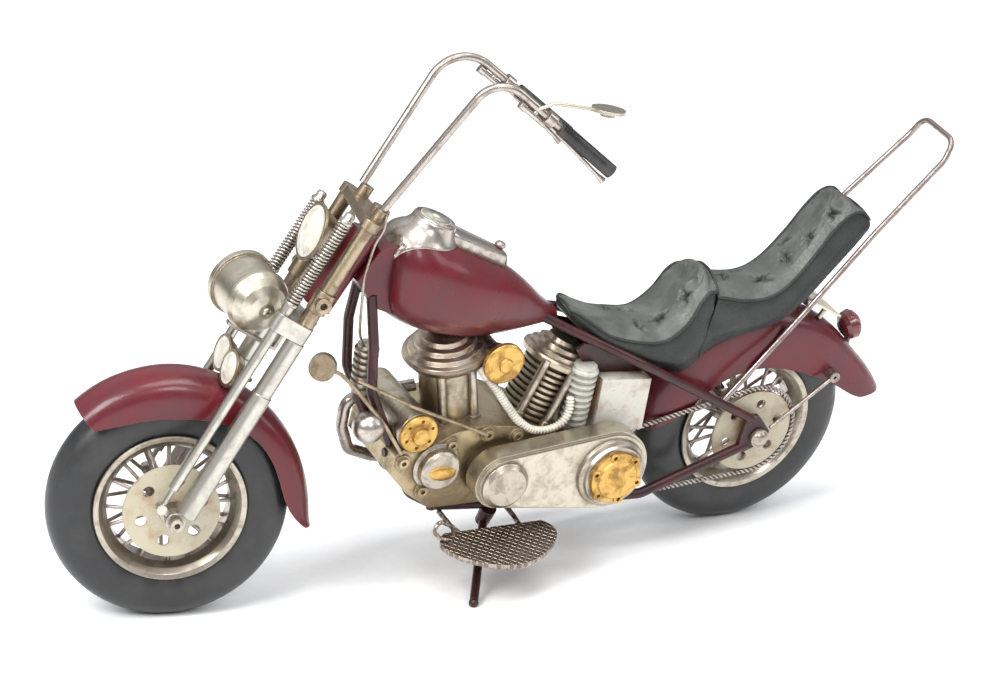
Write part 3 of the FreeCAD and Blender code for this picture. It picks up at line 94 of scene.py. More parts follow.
# ---- materials ----
class Finish:
    """A material under construction: each method adds a node and gives its output. Sizes are millimetres."""

    def __init__(self, name):
        self.material = bpy.data.materials.new(name)
        self.material.use_nodes = True
        self.tree = self.material.node_tree
        self.shader = self.tree.nodes["Principled BSDF"]
        self.object_place = self.node("ShaderNodeTexCoord").outputs["Object"]

    def node(self, kind, inputs=(), **settings):
        made = self.tree.nodes.new(kind)
        for key, value in settings.items():
            setattr(made, key, value)
        for key, value in dict(inputs).items():
            self.feed(made.inputs[key], value)
        return made

    def feed(self, socket, value):
        if isinstance(value, bpy.types.NodeSocket):
            self.tree.links.new(value, socket)
        elif socket.type == "RGBA" and len(value) == 3:
            socket.default_value = (*value, 1.0)
        else:
            socket.default_value = value

    def set(self, **values):
        """Values for the shader's sockets, with underscores for the spaces in their names."""
        for key, value in values.items():
            self.feed(self.shader.inputs[key.replace("_", " ")], value)
        return self.material

    def noise(self, size, detail=4.0, rough=0.6, warp=0.0, stretch=None):
        place = self.object_place
        if stretch:
            place = self.node("ShaderNodeMapping", {"Vector": place, "Scale": stretch}).outputs[0]
        inputs = {"Vector": place, "Scale": 1 / (size * MM), "Detail": detail, "Roughness": rough}
        return self.node("ShaderNodeTexNoise", {**inputs, "Distortion": warp}).outputs["Fac"]

    def cells(self, size, feature="F1", metric="EUCLIDEAN"):
        inputs = {"Vector": self.object_place, "Scale": 1 / (size * MM)}
        made = self.node("ShaderNodeTexVoronoi", inputs, feature=feature, distance=metric)
        return made.outputs["Distance"]

    def stripes(self, size, degrees):
        """Soft ridges that far apart, turned by so many degrees in plan."""
        turn = (0.0, 0.0, math.radians(degrees))
        place = self.node("ShaderNodeMapping", {"Vector": self.object_place, "Rotation": turn}).outputs[0]
        inputs = {"Vector": place, "Scale": math.pi / (10 * size * MM)}
        return self.node("ShaderNodeTexWave", inputs).outputs["Fac"]

    def ramp(self, value, low, high, out_low=0.0, out_high=1.0):
        """value taken smoothly from the range low to high into out_low to out_high."""
        inputs = {"Value": value, "From Min": low, "From Max": high, "To Min": out_low, "To Max": out_high}
        return self.node("ShaderNodeMapRange", inputs, interpolation_type="SMOOTHSTEP").outputs["Result"]

    def math(self, operation, a, b=0.0):
        made = self.node("ShaderNodeMath", operation=operation, use_clamp=operation in ("ADD", "SUBTRACT"))
        self.feed(made.inputs[0], a)
        self.feed(made.inputs[1], b)
        return made.outputs[0]

    def mix(self, share, a, b):
        made = self.node("ShaderNodeMix", data_type="RGBA")
        self.feed(made.inputs[0], share)
        self.feed(made.inputs[6], a)
        self.feed(made.inputs[7], b)
        return made.outputs[2]

    def crevice(self, reach):
        """1 deep in a recess or against a neighbour, 0 in the open."""
        made = self.node("ShaderNodeAmbientOcclusion", {"Distance": reach * MM}, samples=6)
        return self.ramp(made.outputs["AO"], 0.35, 0.95, 1.0, 0.0)

    def edge(self, radius):
        """The softened normal, and 1 on an edge, 0 on a flat."""
        soft = self.node("ShaderNodeBevel", {"Radius": radius * MM}, samples=4).outputs[0]
        sharp = self.node("ShaderNodeNewGeometry").outputs["Normal"]
        made = self.node("ShaderNodeVectorMath", operation="DOT_PRODUCT")
        self.feed(made.inputs[0], soft)
        self.feed(made.inputs[1], sharp)
        return soft, self.ramp(made.outputs["Value"], 0.9, 0.999, 1.0, 0.0)

    def bump(self, height, depth, strength=1.0, normal=None):
        inputs = {"Height": height, "Distance": depth * MM, "Strength": strength}
        if normal is not None:
            inputs["Normal"] = normal
        return self.node("ShaderNodeBump", inputs).outputs["Normal"]


def worn_paint(name, base, deep, worn, roughness=0.34, speckle=0.5, coat=0.32):
    """Brushed-on gloss paint over tin: cloudy depth, dust and rust specks, rubbed edges."""
    f = Finish(name)
    soft, edge = f.edge(0.45)
    cloud = f.noise(22.0, 3.0)
    fine = f.noise(1.1, 6.0, 0.7)
    specks = f.ramp(f.math("ADD", f.cells(2.6), f.math("MULTIPLY", fine, 0.25)), 0.20, 0.13)
    rare = f.math("MULTIPLY", specks, f.ramp(f.noise(13.0, 2.0), 0.52, 0.66))
    rubbed = f.math("MULTIPLY", edge, f.ramp(f.noise(3.2, 5.0), 0.42, 0.6))
    recess = f.crevice(5.0)
    colour = f.mix(f.ramp(cloud, 0.35, 0.7), deep, base)
    # painted shade: in recesses and against neighbours the paint is darkened to a third of its deep tone
    colour = f.mix(f.math("MULTIPLY", recess, 0.7), colour, tuple(c * 0.35 for c in deep))
    colour = f.mix(f.math("MULTIPLY", rare, speckle), colour, worn)
    colour = f.mix(f.math("MULTIPLY", rubbed, 0.75), colour, worn)
    dulled = f.math("ADD", f.noise(6.0, 5.0), f.math("MULTIPLY", rare, 0.4))
    rough = f.ramp(dulled, 0.3, 0.8, roughness * 0.8, roughness * 1.5)
    ripple = f.math("ADD", f.math("MULTIPLY", f.noise(9.0, 2.0), 0.6), f.math("MULTIPLY", fine, 0.05))
    f.shader.inputs["Coat Roughness"].default_value = 0.14
    f.shader.inputs["Specular IOR Level"].default_value = 0.30
    normal = f.bump(ripple, 0.25, 0.35, soft)
    return f.set(Base_Color=colour, Roughness=rough, Coat_Weight=coat, Normal=normal)


def aged_metal(name, light, dark, roughness=0.33, patina=0.55, grime=0.9, cast=0.0, size=1.0, tread=0.0):
    """Plated or lacquered metal with a brown wash in its recesses, cloudy patina and pitted grain.

    cast adds a foundry texture, size scales the patina, and tread is the spacing of a crossed hatch.
    """
    f = Finish(name)
    soft, edge = f.edge(0.4)
    blotch = f.ramp(f.noise(7.0 * size, 6.0, 0.68, 0.6), 0.42, 0.66)
    fine = f.noise(0.9 * size, 6.0, 0.7)
    recess = f.crevice(3.2)
    stain = f.math("ADD", f.math("MULTIPLY", blotch, patina), f.math("MULTIPLY", recess, grime))
    stain = f.math("MULTIPLY", stain, f.ramp(fine, 0.2, 0.62, 0.45, 1.0))
    stain = f.math("SUBTRACT", stain, f.math("MULTIPLY", edge, 0.6))
    colour = f.mix(stain, light, dark)
    pits = f.ramp(f.cells(1.5 * size), 0.16, 0.05)
    pits = f.math("MULTIPLY", pits, f.ramp(f.noise(5.0, 3.0), 0.45, 0.65))
    colour = f.mix(f.math("MULTIPLY", pits, 0.6), colour, tuple(c * 0.3 for c in dark))
    rough = f.ramp(stain, 0.0, 1.0, roughness, min(0.85, roughness + 0.32))
    metal = f.ramp(stain, 0.25, 1.0, 1.0, 0.35)
    height = f.math("ADD", f.math("MULTIPLY", f.noise(2.4, 5.0), 0.5 + cast), f.math("MULTIPLY", fine, 0.25))
    normal = f.bump(height, 0.22, 0.25 + 0.5 * cast, soft)
    if tread:
        one, other = (f.ramp(f.stripes(tread, degrees), 0.6, 0.9) for degrees in (40, -40))
        ridges = f.math("MAXIMUM", one, other)
        between = f.ramp(ridges, 0.0, 0.5, 1.0, 0.0)
        colour = f.mix(f.math("MULTIPLY", between, 0.6), colour, dark)
        normal = f.bump(ridges, 0.5, 0.8, normal)
    return f.set(Base_Color=colour, Metallic=metal, Roughness=rough, Normal=normal)


def enamel(name, base, stain, roughness=0.42, amount=0.8):
    """Flat enamel on tin, freckled with rust and darkened in the corners."""
    f = Finish(name)
    soft, edge = f.edge(0.4)
    spots = f.math("ADD", f.cells(1.9), f.math("MULTIPLY", f.noise(0.8, 5.0), 0.3))
    freckle = f.ramp(spots, 0.34, 0.2)
    freckle = f.math("MULTIPLY", freckle, f.ramp(f.noise(8.0, 4.0), 0.4, 0.62))
    wash = f.math("MULTIPLY", f.ramp(f.noise(10.0, 6.0, 0.65), 0.45, 0.75), 0.6)
    dirt = f.math("ADD", f.math("MULTIPLY", f.crevice(4.0), 0.9), f.math("MULTIPLY", freckle, 0.7))
    dirt = f.math("MULTIPLY", f.math("ADD", dirt, f.math("ADD", wash, f.math("MULTIPLY", edge, 0.4))), amount)
    colour = f.mix(dirt, base, stain)
    rough = f.ramp(dirt, 0.0, 1.0, roughness, roughness + 0.25)
    normal = f.bump(f.noise(1.6, 6.0), 0.2, 0.3, soft)
    return f.set(Base_Color=colour, Roughness=rough, Normal=normal)


def moulded_rubber(name, base, dust, roughness=0.5, grain=0.8):
    f = Finish(name)
    soft, edge = f.edge(0.5)
    cloud = f.ramp(f.noise(16.0, 5.0), 0.4, 0.7)
    scuff = f.ramp(f.noise(1.4, 7.0, 0.75), 0.55, 0.8)
    share = f.math("ADD", f.math("MULTIPLY", cloud, 0.45), f.math("MULTIPLY", scuff, 0.35))
    share = f.math("ADD", share, f.math("MULTIPLY", edge, 0.5))
    rough = f.ramp(cloud, 0.0, 1.0, roughness - 0.08, roughness + 0.1)
    normal = f.bump(f.noise(grain, 5.0), 0.12, 0.35, soft)
    return f.set(Base_Color=f.mix(share, base, dust), Roughness=rough, Normal=normal)


def leather(name, base, worn, roughness=0.42, grain=0.75):
    """Grained imitation leather: cell grain, creases, painted shade in the folds, a dull bloom on what is
    rubbed.
    """
    f = Finish(name)
    grains = f.cells(grain, "SMOOTH_F1")
    crease = f.cells(grain * 3.4, "DISTANCE_TO_EDGE")
    bloom = f.ramp(f.noise(14.0, 5.0), 0.38, 0.68)
    colour = f.mix(bloom, base, worn)
    # painted shade: the leather is darkened towards a quarter of its base tone in the folds and against
    # neighbours
    colour = f.mix(f.math("MULTIPLY", f.crevice(4.0), 0.75), colour, tuple(c * 0.25 for c in base))
    height = f.math("ADD", f.math("MULTIPLY", grains, 0.7), f.ramp(crease, 0.0, 0.09, 0.0, 0.4))
    rough = f.ramp(grains, 0.0, 0.8, roughness - 0.07, roughness + 0.12)
    return f.set(Base_Color=colour, Roughness=rough, Normal=f.bump(height, 0.16, 0.55))


def frosted_lens(name, base, roughness=0.22):
    f = Finish(name)
    ribs = f.noise(3.0, 3.0)
    colour = f.mix(f.ramp(f.noise(5.0, 5.0), 0.35, 0.7), base, tuple(c * 0.72 for c in base))
    colour = f.mix(f.math("MULTIPLY", f.crevice(2.5), 0.8), colour, (0.16, 0.11, 0.06))
    f.shader.inputs["Coat Weight"].default_value = 0.7
    f.shader.inputs["Coat Roughness"].default_value = 0.08
    f.shader.inputs["Transmission Weight"].default_value = 0.15
    return f.set(Base_Color=colour, Roughness=f.ramp(ribs, 0.3, 0.7, roughness, roughness + 0.15),
                 Normal=f.bump(ribs, 0.2, 0.3))


MAROON = (0.112, 0.0055, 0.010)
FINISHES = {
    "maroon": worn_paint("maroon_paint", MAROON, (0.085, 0.011, 0.016), (0.30, 0.17, 0.14)),
    "maroon_tube": worn_paint("maroon_tube", (0.055, 0.011, 0.013), (0.024, 0.006, 0.007),
                              (0.26, 0.20, 0.17), 0.33, 0.5, 0.2),
    "sleeve": aged_metal("sleeve_nickel", (0.53, 0.51, 0.46), (0.17, 0.12, 0.08), 0.30, 0.35, 0.9),
    "nickel": aged_metal("aged_nickel", (0.47, 0.42, 0.35), (0.10, 0.065, 0.04), 0.30, 0.55),
    "bar": aged_metal("bar_nickel", (0.46, 0.41, 0.37), (0.10, 0.06, 0.045), 0.25, 0.55),
    "bronze": aged_metal("aged_bronze", (0.40, 0.32, 0.22), (0.075, 0.045, 0.025), 0.34, 0.65, 1.0, 0.3),
    "case": aged_metal("cast_case", (0.44, 0.36, 0.23), (0.135, 0.078, 0.035),
                       0.33, 0.6, 1.25, 0.5, 1.7),
    "barrel": aged_metal("barrel_nickel", (0.50, 0.44, 0.34), (0.12, 0.075, 0.04), 0.32, 0.6, 1.1, 0.3),
    "gold": aged_metal("gold_lacquer", (0.62, 0.39, 0.12), (0.20, 0.085, 0.015), 0.34, 0.8, 1.2, 0.35),
    "chrome": aged_metal("hazed_chrome", (0.50, 0.46, 0.42), (0.14, 0.085, 0.06), 0.27, 0.5, 1.0),
    "cream": aged_metal("cream_nickel", (0.55, 0.51, 0.42), (0.17, 0.12, 0.065), 0.30, 0.45, 0.9),
    "wire": aged_metal("dull_wire", (0.42, 0.36, 0.32), (0.09, 0.05, 0.04), 0.32, 0.55),
    "dark_metal": aged_metal("dark_metal", (0.20, 0.16, 0.12), (0.03, 0.02, 0.015), 0.4, 0.7),
    "spring": aged_metal("spring_wire", (0.50, 0.47, 0.42), (0.08, 0.055, 0.04), 0.26, 0.35),
    "chain": aged_metal("chain_wire", (0.46, 0.40, 0.36), (0.07, 0.045, 0.035), 0.30, 0.55),
    "tread": aged_metal("tread_plate", (0.42, 0.36, 0.31), (0.10, 0.06, 0.045),
                        0.34, 0.5, 0.9, 0.0, 1.0, 2.6),
    "disc": enamel("rusty_disc", (0.42, 0.38, 0.28), (0.27, 0.13, 0.05), 0.42, 1.0),
    "rocker": aged_metal("rocker_nickel", (0.52, 0.44, 0.35), (0.15, 0.075, 0.05), 0.30, 0.6, 1.1),
    "stone": enamel("stone_enamel", (0.56, 0.54, 0.48), (0.24, 0.11, 0.05), 0.42, 1.25),
    "filter": enamel("filter_grey", (0.50, 0.50, 0.43), (0.10, 0.08, 0.06), 0.40, 0.8),
    "plate": enamel("plate_enamel", (0.66, 0.61, 0.48), (0.25, 0.16, 0.09), 0.40, 0.6),
    "pink": aged_metal("pale_bar_nickel", (0.33, 0.28, 0.26), (0.09, 0.05, 0.04), 0.28, 0.6),
    "hose": enamel("hose_beige", (0.66, 0.63, 0.54), (0.16, 0.11, 0.07), 0.40, 0.8),
    "tyre": moulded_rubber("tyre_rubber", (0.014, 0.014, 0.015), (0.050, 0.049, 0.047), 0.42),
    "grip": moulded_rubber("grip_rubber", (0.010, 0.010, 0.010), (0.09, 0.085, 0.08), 0.42),
    "lens": frosted_lens("cream_lens", (0.78, 0.74, 0.62)),
    "red_lens": frosted_lens("red_lens", (0.16, 0.02, 0.025), 0.2),
    "leather": leather("black_leather", (0.010, 0.0105, 0.0105), (0.022, 0.023, 0.022), 0.46),
    # the cushions' tops: a lighter leather than the skirts, partly wear and partly painted light where the
    # tops face the lamps
    "lit_seat_top": leather("worn_and_lit_leather", (0.058, 0.060, 0.055), (0.105, 0.108, 0.098), 0.38),
}
NODE_FINISH = {
    "maroon": "fuel_tank front_fender rear_fender tail_lamp frame_spine",
    "maroon_tube": "cradle rear_stays side_stand stand_hinge fender_struts",
    "sleeve": "fork_legs fork_rods",
    "nickel": "rear_axle front_axle primary_cover pushrod_tubes headlight_bracket "
              "front_rim rear_rim front_hub rear_hub",
    "bar": "handlebar exhaust",
    "bronze": "foot_control fork_clamps steering_head spot_lamp_shell signal_shells",
    "barrel": "cylinders",
    "case": "crankcase case_covers gearbox",
    "gold": "generator timing_cover clutch_cover air_cleaner",
    "chrome": "dash front_electrics levers",
    "cream": "headlight mirror fork_springs",
    "wire": "front_spokes rear_spokes control_cable",
    "tread": "footboard",
    "disc": "rear_sprocket",
    "dark_metal": "drive_chain",
    "rocker": "rocker_covers",
    "stone": "oil_tank",
    "plate": "licence_plate",
    "pink": "sissy_bar",
    "hose": "breather_hose",
    "tyre": "front_tyre rear_tyre",
    "grip": "grips",
    "lens": "spot_lamp_glass signal_glasses",
    "leather": "seat_front seat_rear",
}


# ---- shapes ----
def put(name, points, faces, finish, body, slot, place=None):
    """A smooth-shaded mesh of points in the machine's millimetres that rides on a CAD body."""
    matrix = BIKE if place is None else place
    mesh = bpy.data.meshes.new(name)
    mesh.from_pydata([matrix @ Vector(point) for point in points], [], faces)
    mesh.materials.append(FINISHES[finish])
    mesh.shade_smooth()
    made = bpy.data.objects.new(name, mesh)
    bpy.context.scene.collection.objects.link(made)
    if body:
        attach(made, body)
    return made


def spline(points, steps):
    """A smooth run of points through the given ones; a point may have any number of coordinates."""
    points = [list(p) for p in points]
    padded_points = [points[0]] + points + [points[-1]]
    run = []
    for i in range(len(points) - 1):
        a, b, c, d = padded_points[i:i + 4]
        for k in range(steps):
            t = k / steps
            run.append([0.5 * (2 * q + (r - p) * t + (2 * p - 5 * q + 4 * r - w) * t * t
                               + (3 * q - 3 * r + w - p) * t ** 3) for p, q, r, w in zip(a, b, c, d)])
    return run + [points[-1]]


def evenly(points, step):
    """The same route with points a fixed step apart."""
    points = [Vector(p) for p in points]
    run, carry = [points[0]], 0.0
    for a, b in zip(points, points[1:]):
        length = (b - a).length
        place = step - carry
        while place <= length:
            run.append(a.lerp(b, place / length))
            place += step
        carry = (carry + length) % step
    return run


def bands(rows, width, closed=True):
    """Faces that join rows of points, each row closed on itself unless it is an open strip."""
    faces = []
    for i in range(rows - 1):
        for k in range(width if closed else width - 1):
            m = (k + 1) % width
            faces.append((i * width + k, i * width + m, (i + 1) * width + m, (i + 1) * width + k))
    return faces


def ends(rows, width):
    """The faces that close the first and the last row."""
    return [tuple(range(width))[::-1], tuple((rows - 1) * width + k for k in range(width))]


def sweep(route, radius, sides=12, loop=False):
    """A tube along a route; radius is one number or one for each point. Gives points and faces."""
    route = [Vector(p) for p in route]
    count = len(route)
    radii = radius if isinstance(radius, list) else [radius] * count
    side = None
    points = []
    for i, centre in enumerate(route):
        ahead = route[(i + 1) % count] if loop else route[min(i + 1, count - 1)]
        behind = route[i - 1] if loop or i else route[0]
        way = (ahead - behind).normalized()
        if side is None:
            side = way.orthogonal().normalized()
        side = (side - way * side.dot(way)).normalized()
        other = way.cross(side)
        for k in range(sides):
            turn = 2 * math.pi * k / sides
            points.append(centre + (side * math.cos(turn) + other * math.sin(turn)) * radii[i])
    faces = bands(count, sides)
    if loop:
        last = (count - 1) * sides
        faces += [(last + k, last + (k + 1) % sides, (k + 1) % sides, k) for k in range(sides)]
    else:
        faces += ends(count, sides)
    return points, faces


def together(shapes):
    """Several (points, faces) as one."""
    points, faces = [], []
    for some_points, some_faces in shapes:
        start = len(points)
        points += some_points
        faces += [tuple(k + start for k in face) for face in some_faces]
    return points, faces


def twist(route, reach, turns, start=0.0):
    """A route wound round another one at a fixed reach."""
    route = [Vector(p) for p in route]
    count = len(route) - 1
    side, wound = None, []
    for i, centre in enumerate(route):
        way = (route[min(i + 1, count)] - route[max(i - 1, 0)]).normalized()
        side = side or way.orthogonal().normalized()
        side = (side - way * side.dot(way)).normalized()
        angle = 2 * math.pi * turns * i / count + start
        wound.append(centre + (side * math.cos(angle) + way.cross(side) * math.sin(angle)) * reach)
    return wound


def straight(a, b, count):
    return [Vector(a).lerp(Vector(b), i / count) for i in range(count + 1)]


def lathe(profile, centre, axis, sides=40):
    """A turned shape: profile is (way along the axis, radius) from end to end."""
    axis = Vector(axis).normalized()
    return sweep([Vector(centre) + axis * a for a, r in profile], [max(r, 0.01) for a, r in profile], sides)


# ---- springs, wires, hose and chain ----
SPRING_FOOT = 96.8
SPRING_FORE = 17.0
SPRING_WIRE_R = 0.46
COIL_R = 2.45
SPRINGS = ((-21.0, 136.0, 27), (21.0, 130.0, 23))  # side, top and turns of each


def make_springs():
    """Wound springs with their end caps, in place of the CAD's plain sleeves."""
    upper_cap = [(0, 2.6), (0.4, 3.0), (1.2, 3.1), (2.0, 2.6), (2.4, 2.2), (4.4, 2.2), (5.0, 1.8), (5.2, 0.4)]
    lower_cap = [(-0.4, 2.6), (0, 3.0), (0.8, 3.0), (1.2, 2.4)]
    shapes = []
    for side, top, turns in SPRINGS:
        foot, seat = head(SPRING_FOOT, SPRING_FORE - 0.1, side), head(top, SPRING_FORE, side)
        coil = twist(straight(foot, seat, turns * 20), COIL_R, turns)
        shapes.append(sweep(coil, SPRING_WIRE_R, 8))
        shapes.append(lathe(upper_cap, seat, HEAD_UP, 28))
        shapes.append(lathe(lower_cap, foot, HEAD_UP, 28))
    springs = put("fork_spring_coils", *together(shapes), "spring", "fork", "spring_steel", FORK)
    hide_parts("fork_springs")


HOSE_R = 1.66
HOSE_RIB = 0.26
RIB_PITCH = 1.5
HOSE_STEP = 0.2


def make_hose():
    """The ribbed breather hose that loops down from the intake, with its plain elbow."""
    turns = [(131.4, -17.4, 99.0), (136.2, -18.4, 92.6), (141.4, -19.4, 85.0), (147.4, -20.1, 77.2)]
    turns += [(154.4, -20.4, 71.8), (162.4, -20.4, 70.4), (169.0, -20.0, 72.6)]
    turns += [(172.3, -19.0, 77.6), (172.6, -18.0, 84.0)]
    route = evenly(spline(turns, 24), HOSE_STEP)
    radii = [HOSE_R + HOSE_RIB * math.cos(2 * math.pi * i * HOSE_STEP / RIB_PITCH) for i in range(len(route))]
    elbow = sweep(straight((131.8, -17.5, 98.5), (128.8, -15.0, 103.0), 6), 2.4, 20)
    shapes = [sweep(route, radii, 16), elbow]
    hose = put("hose_ribbed", *together(shapes), "hose", "chassis", "hose_beige")
    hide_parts("breather_hose")


PULLEY = Vector((190.0, -14.2, 40.8))
SPROCKET = Vector((269.4, -14.2, TYRE_R))
PULLEY_R = 15.4
SPROCKET_R = 20.95
WRAP_STEPS = 60
STRAND_R = 0.62
STRAND_REACH = 0.66
STRAND_TURNS = 62


def chain_route():
    """Round the front pulley and the rear sprocket, in the plane of the chain."""
    between = SPROCKET - PULLEY
    lean = math.atan2(between.z, between.x)
    spread = math.acos((PULLEY_R - SPROCKET_R) / between.length)
    wraps = [(SPROCKET, SPROCKET_R, spread, -spread), (PULLEY, PULLEY_R, -spread, spread - 2 * math.pi)]
    route = []
    for centre, radius, first, last in wraps:
        for i in range(WRAP_STEPS + 1):
            angle = lean + first + (last - first) * i / WRAP_STEPS
            route.append(centre + Vector((math.cos(angle), 0, math.sin(angle))) * radius)
    return route + route[:1]


def make_chain():
    """A chain of twisted wire: two strands wound round each other."""
    route = evenly(chain_route(), 0.4)
    strands = []
    for start in (0.0, math.pi):
        strands.append(sweep(twist(route, STRAND_REACH, STRAND_TURNS, start), STRAND_R, 8))
    chain = put("drive_chain_wires", *together(strands), "chain", "chassis", "chain_wire")
    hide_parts("drive_chain")


def make_cable():
    """The throttle wire, bending between the bar on the fork and the regulator on the chassis."""
    turns = [(75.0, -17.2, 181.0), (73.9, -17.8, 175.0), (71.6, -17.0, 169.0), (71.2, -14.6, 160.5)]
    turns += [(71.2, -12.0, 151.0), (72.2, -10.5, 140.5), (75.4, -6.0, 122.0), (81.0, -1.2, 111.5)]
    route = evenly(spline(turns, 20), 0.7)
    cable = put("throttle_wire", *sweep(route, 0.6, 10), "wire", None, "wire_nickel")
    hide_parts("control_cable")
    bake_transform(cable)


# ---- dash ----
DIAL_TILT = math.radians(19)
DIAL_UP = Vector((math.sin(DIAL_TILT), 0, math.cos(DIAL_TILT)))
DIAL_BACK = Vector((math.cos(DIAL_TILT), 0, -math.sin(DIAL_TILT)))
DIAL_CENTRE = Vector((106.8, 0, 166.9))
POD_SIDES = 72
POD_TOP_R = 9.4
POD_CAP_R = 8.9
POD_FOOT = (99.6, 17.6, 13.2)  # centre along the machine, half length and half width
# Each pair is (share of the wall's height, share of the flare out to the foot).
POD_WALL = [(0.0, 1.0), (0.06, 0.985), (0.12, 0.88), (0.2, 0.70), (0.32, 0.48), (0.5, 0.25)]
POD_WALL += [(0.7, 0.10), (0.88, 0.02), (0.97, 0.0), (1.0, -0.03)]
STRIP_START = 106.0
STRIP_HALF = 8.2
STRIP_TOP = 167.4
STRIP_FALL = 0.548
# Each pair is (place along the machine, share of the strip's full width).
STRIP_ROWS = [(STRIP_START, 1.0), (116.0, 1.0), (126.0, 1.0), (136.0, 1.0)]
STRIP_ROWS += [(139.6, 0.97), (141.0, 0.86), (141.6, 0.6)]
KNOB = [(0, 1.3), (3.2, 1.3), (3.4, 1.9), (4.0, 2.3), (5.0, 2.3), (5.7, 1.7), (6.0, 0.3)]
KNOB_FOOT = (137.6, 0, 146.8)
BEZEL = [(0.2, 8.7), (1.0, 8.7), (1.15, 8.3), (1.0, 7.9), (0.6, 7.7)]
# painted shade: a dark disc laid in the groove between bezel and dial
GROOVE_SHADE = [(0.5, 7.8), (0.82, 7.8), (0.82, 6.0)]
DIAL = [(0.5, 6.7), (1.3, 6.7), (1.4, 6.2), (1.2, 5.6), (1.2, 2.0), (1.8, 1.5), (2.0, 0.2)]


def dash_foot(x):
    """Height of the dash's lower edge, where it lies on the tank."""
    return 162.0 + (x - 103.5) * 0.19 if x < 103.5 else 162.0 - (x - 103.5) * 0.515


def tank_top():
    """A function that gives the height of the tank's top at a place in plan, or None beside the tank."""
    mesh = NODES["fuel_tank"].data
    to_bike = BIKE.inverted()
    corners = [to_bike @ vertex.co for vertex in mesh.vertices]
    tree = BVHTree.FromPolygons(corners, [tuple(polygon.vertices) for polygon in mesh.polygons])

    def height(x, y):
        hit = tree.ray_cast(Vector((x, y, 220.0)), Vector((0, 0, -1)))[0]
        return None if hit is None else hit.z

    return height


def dash_pod():
    """A round pod whose wall flares out to a foot that lies on the tank."""
    surface = tank_top()
    foot_x, foot_length, foot_width = POD_FOOT
    turns = [2 * math.pi * k / POD_SIDES for k in range(POD_SIDES)]

    def on_tank(x, y):
        return Vector((x, y, (surface(x, y) or dash_foot(x)) - 0.3))

    points = []
    for t, flare in POD_WALL:
        for turn in turns:
            c, n = math.cos(turn), math.sin(turn)
            upper = DIAL_CENTRE + DIAL_BACK * (POD_TOP_R * c) + Vector((0, POD_TOP_R * n, 0))
            foot = on_tank(foot_x + foot_length * c, foot_width * n)
            lower = on_tank(upper.x, upper.y)
            wall = lower.lerp(upper, t) + (foot - lower) * flare
            skin = surface(wall.x, wall.y)
            if skin is not None and t > 0.0:
                wall.z = max(wall.z, skin + 0.5)
            points.append(wall)
    for turn in turns:
        rim = DIAL_BACK * (POD_CAP_R * math.cos(turn)) + Vector((0, POD_CAP_R * math.sin(turn), 0))
        points.append(DIAL_CENTRE + DIAL_UP * 0.5 + rim)
    rows = len(POD_WALL) + 1
    return points, bands(rows, POD_SIDES) + ends(rows, POD_SIDES)


def dash_strip():
    """The straight strip behind the pod: a low rounded bar that follows the tank's back."""
    points = []
    for x, share in STRIP_ROWS:
        half = (STRIP_HALF - (x - STRIP_START) * 0.10) * share
        top = STRIP_TOP - (x - STRIP_START) * STRIP_FALL - (1 - share) * 2.0
        side = [(half, dash_foot(x) - 2.2), (half * 0.99, top - 2.0)]
        side += [(half * 0.9, top - 0.6), (half * 0.7, top)]
        outline = [(-y, z) for y, z in side] + [(0, top + 0.2)] + side[::-1]
        points += [Vector((x, y, z)) for y, z in outline]
    width = len(outline)
    return points, bands(len(STRIP_ROWS), width) + ends(len(STRIP_ROWS), width)


def make_dash():
    """The dash: the pod that holds the dial, the strip down the tank's back and its knob."""
    shapes = [dash_pod(), dash_strip(), lathe(KNOB, KNOB_FOOT, DIAL_UP, 24)]
    body = put("dash_body", *together(shapes), "chrome", "chassis", "bright_chrome")
    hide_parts("dash")
    # the dark groove disc stands in for the shade in the groove: painted shade
    rings = [("dash_bezel", BEZEL, "chrome"), ("dash_groove_shade", GROOVE_SHADE, "dark_metal")]
    for name, profile, finish in rings + [("dash_dial", DIAL, "filter")]:
        put(name, *lathe(profile, DIAL_CENTRE, DIAL_UP, 56), finish, "chassis", "bright_chrome")


def make_rivets():
    """The rivet on the back of the headlight."""
    lamp = head(87.9, 25.75)
    axis = (Vector((0, 1, 0)) * 0.955 + HEAD_FORE * 0.296).normalized()
    ringed = [(0.6, 1.9), (-0.4, 1.8), (-0.8, 1.4), (-0.8, 0.8), (-0.1, 0.7), (-0.1, 0.05)]
    rivet = lathe(ringed, lamp - axis * 15.2, axis, 24)
    put("headlight_rivet", *rivet, "cream", "headlight", "cream_enamel", FORK)


# ---- cushions ----
# Each row is (place along the machine, underside, edge, crown, half-width at the edge, half-width below).
FRONT_ROWS = [(173.6, 115.4, 118.4, 119.6, 6.0, 5.6), (176.4, 111.6, 117.8, 120.6, 9.0, 8.6)]
FRONT_ROWS += [(182.0, 108.2, 114.0, 118.0, 12.6, 12.4), (190.0, 102.8, 108.6, 113.6, 15.0, 14.8)]
FRONT_ROWS += [(203.0, 96.0, 104.6, 109.6, 16.4, 16.6), (216.0, 90.8, 103.2, 108.6, 16.6, 17.0)]
FRONT_ROWS += [(226.0, 87.6, 109.6, 116.8, 16.4, 17.0), (232.0, 90.6, 119.0, 126.8, 15.4, 17.0)]
FRONT_ROWS += [(236.6, 95.0, 122.6, 130.0, 14.0, 17.0), (241.5, 98.0, 121.0, 127.4, 12.6, 16.6)]
REAR_ROWS = [(233.0, 92.0, 119.6, 123.0, 14.0, 16.8), (242.0, 98.0, 119.6, 123.4, 14.0, 16.4)]
REAR_ROWS += [(254.0, 100.6, 116.2, 121.2, 13.6, 16.0), (267.0, 102.4, 115.6, 120.6, 13.4, 15.4)]
REAR_ROWS += [(277.0, 105.6, 120.6, 126.0, 13.0, 14.6), (287.0, 113.4, 132.0, 137.6, 12.4, 13.8)]
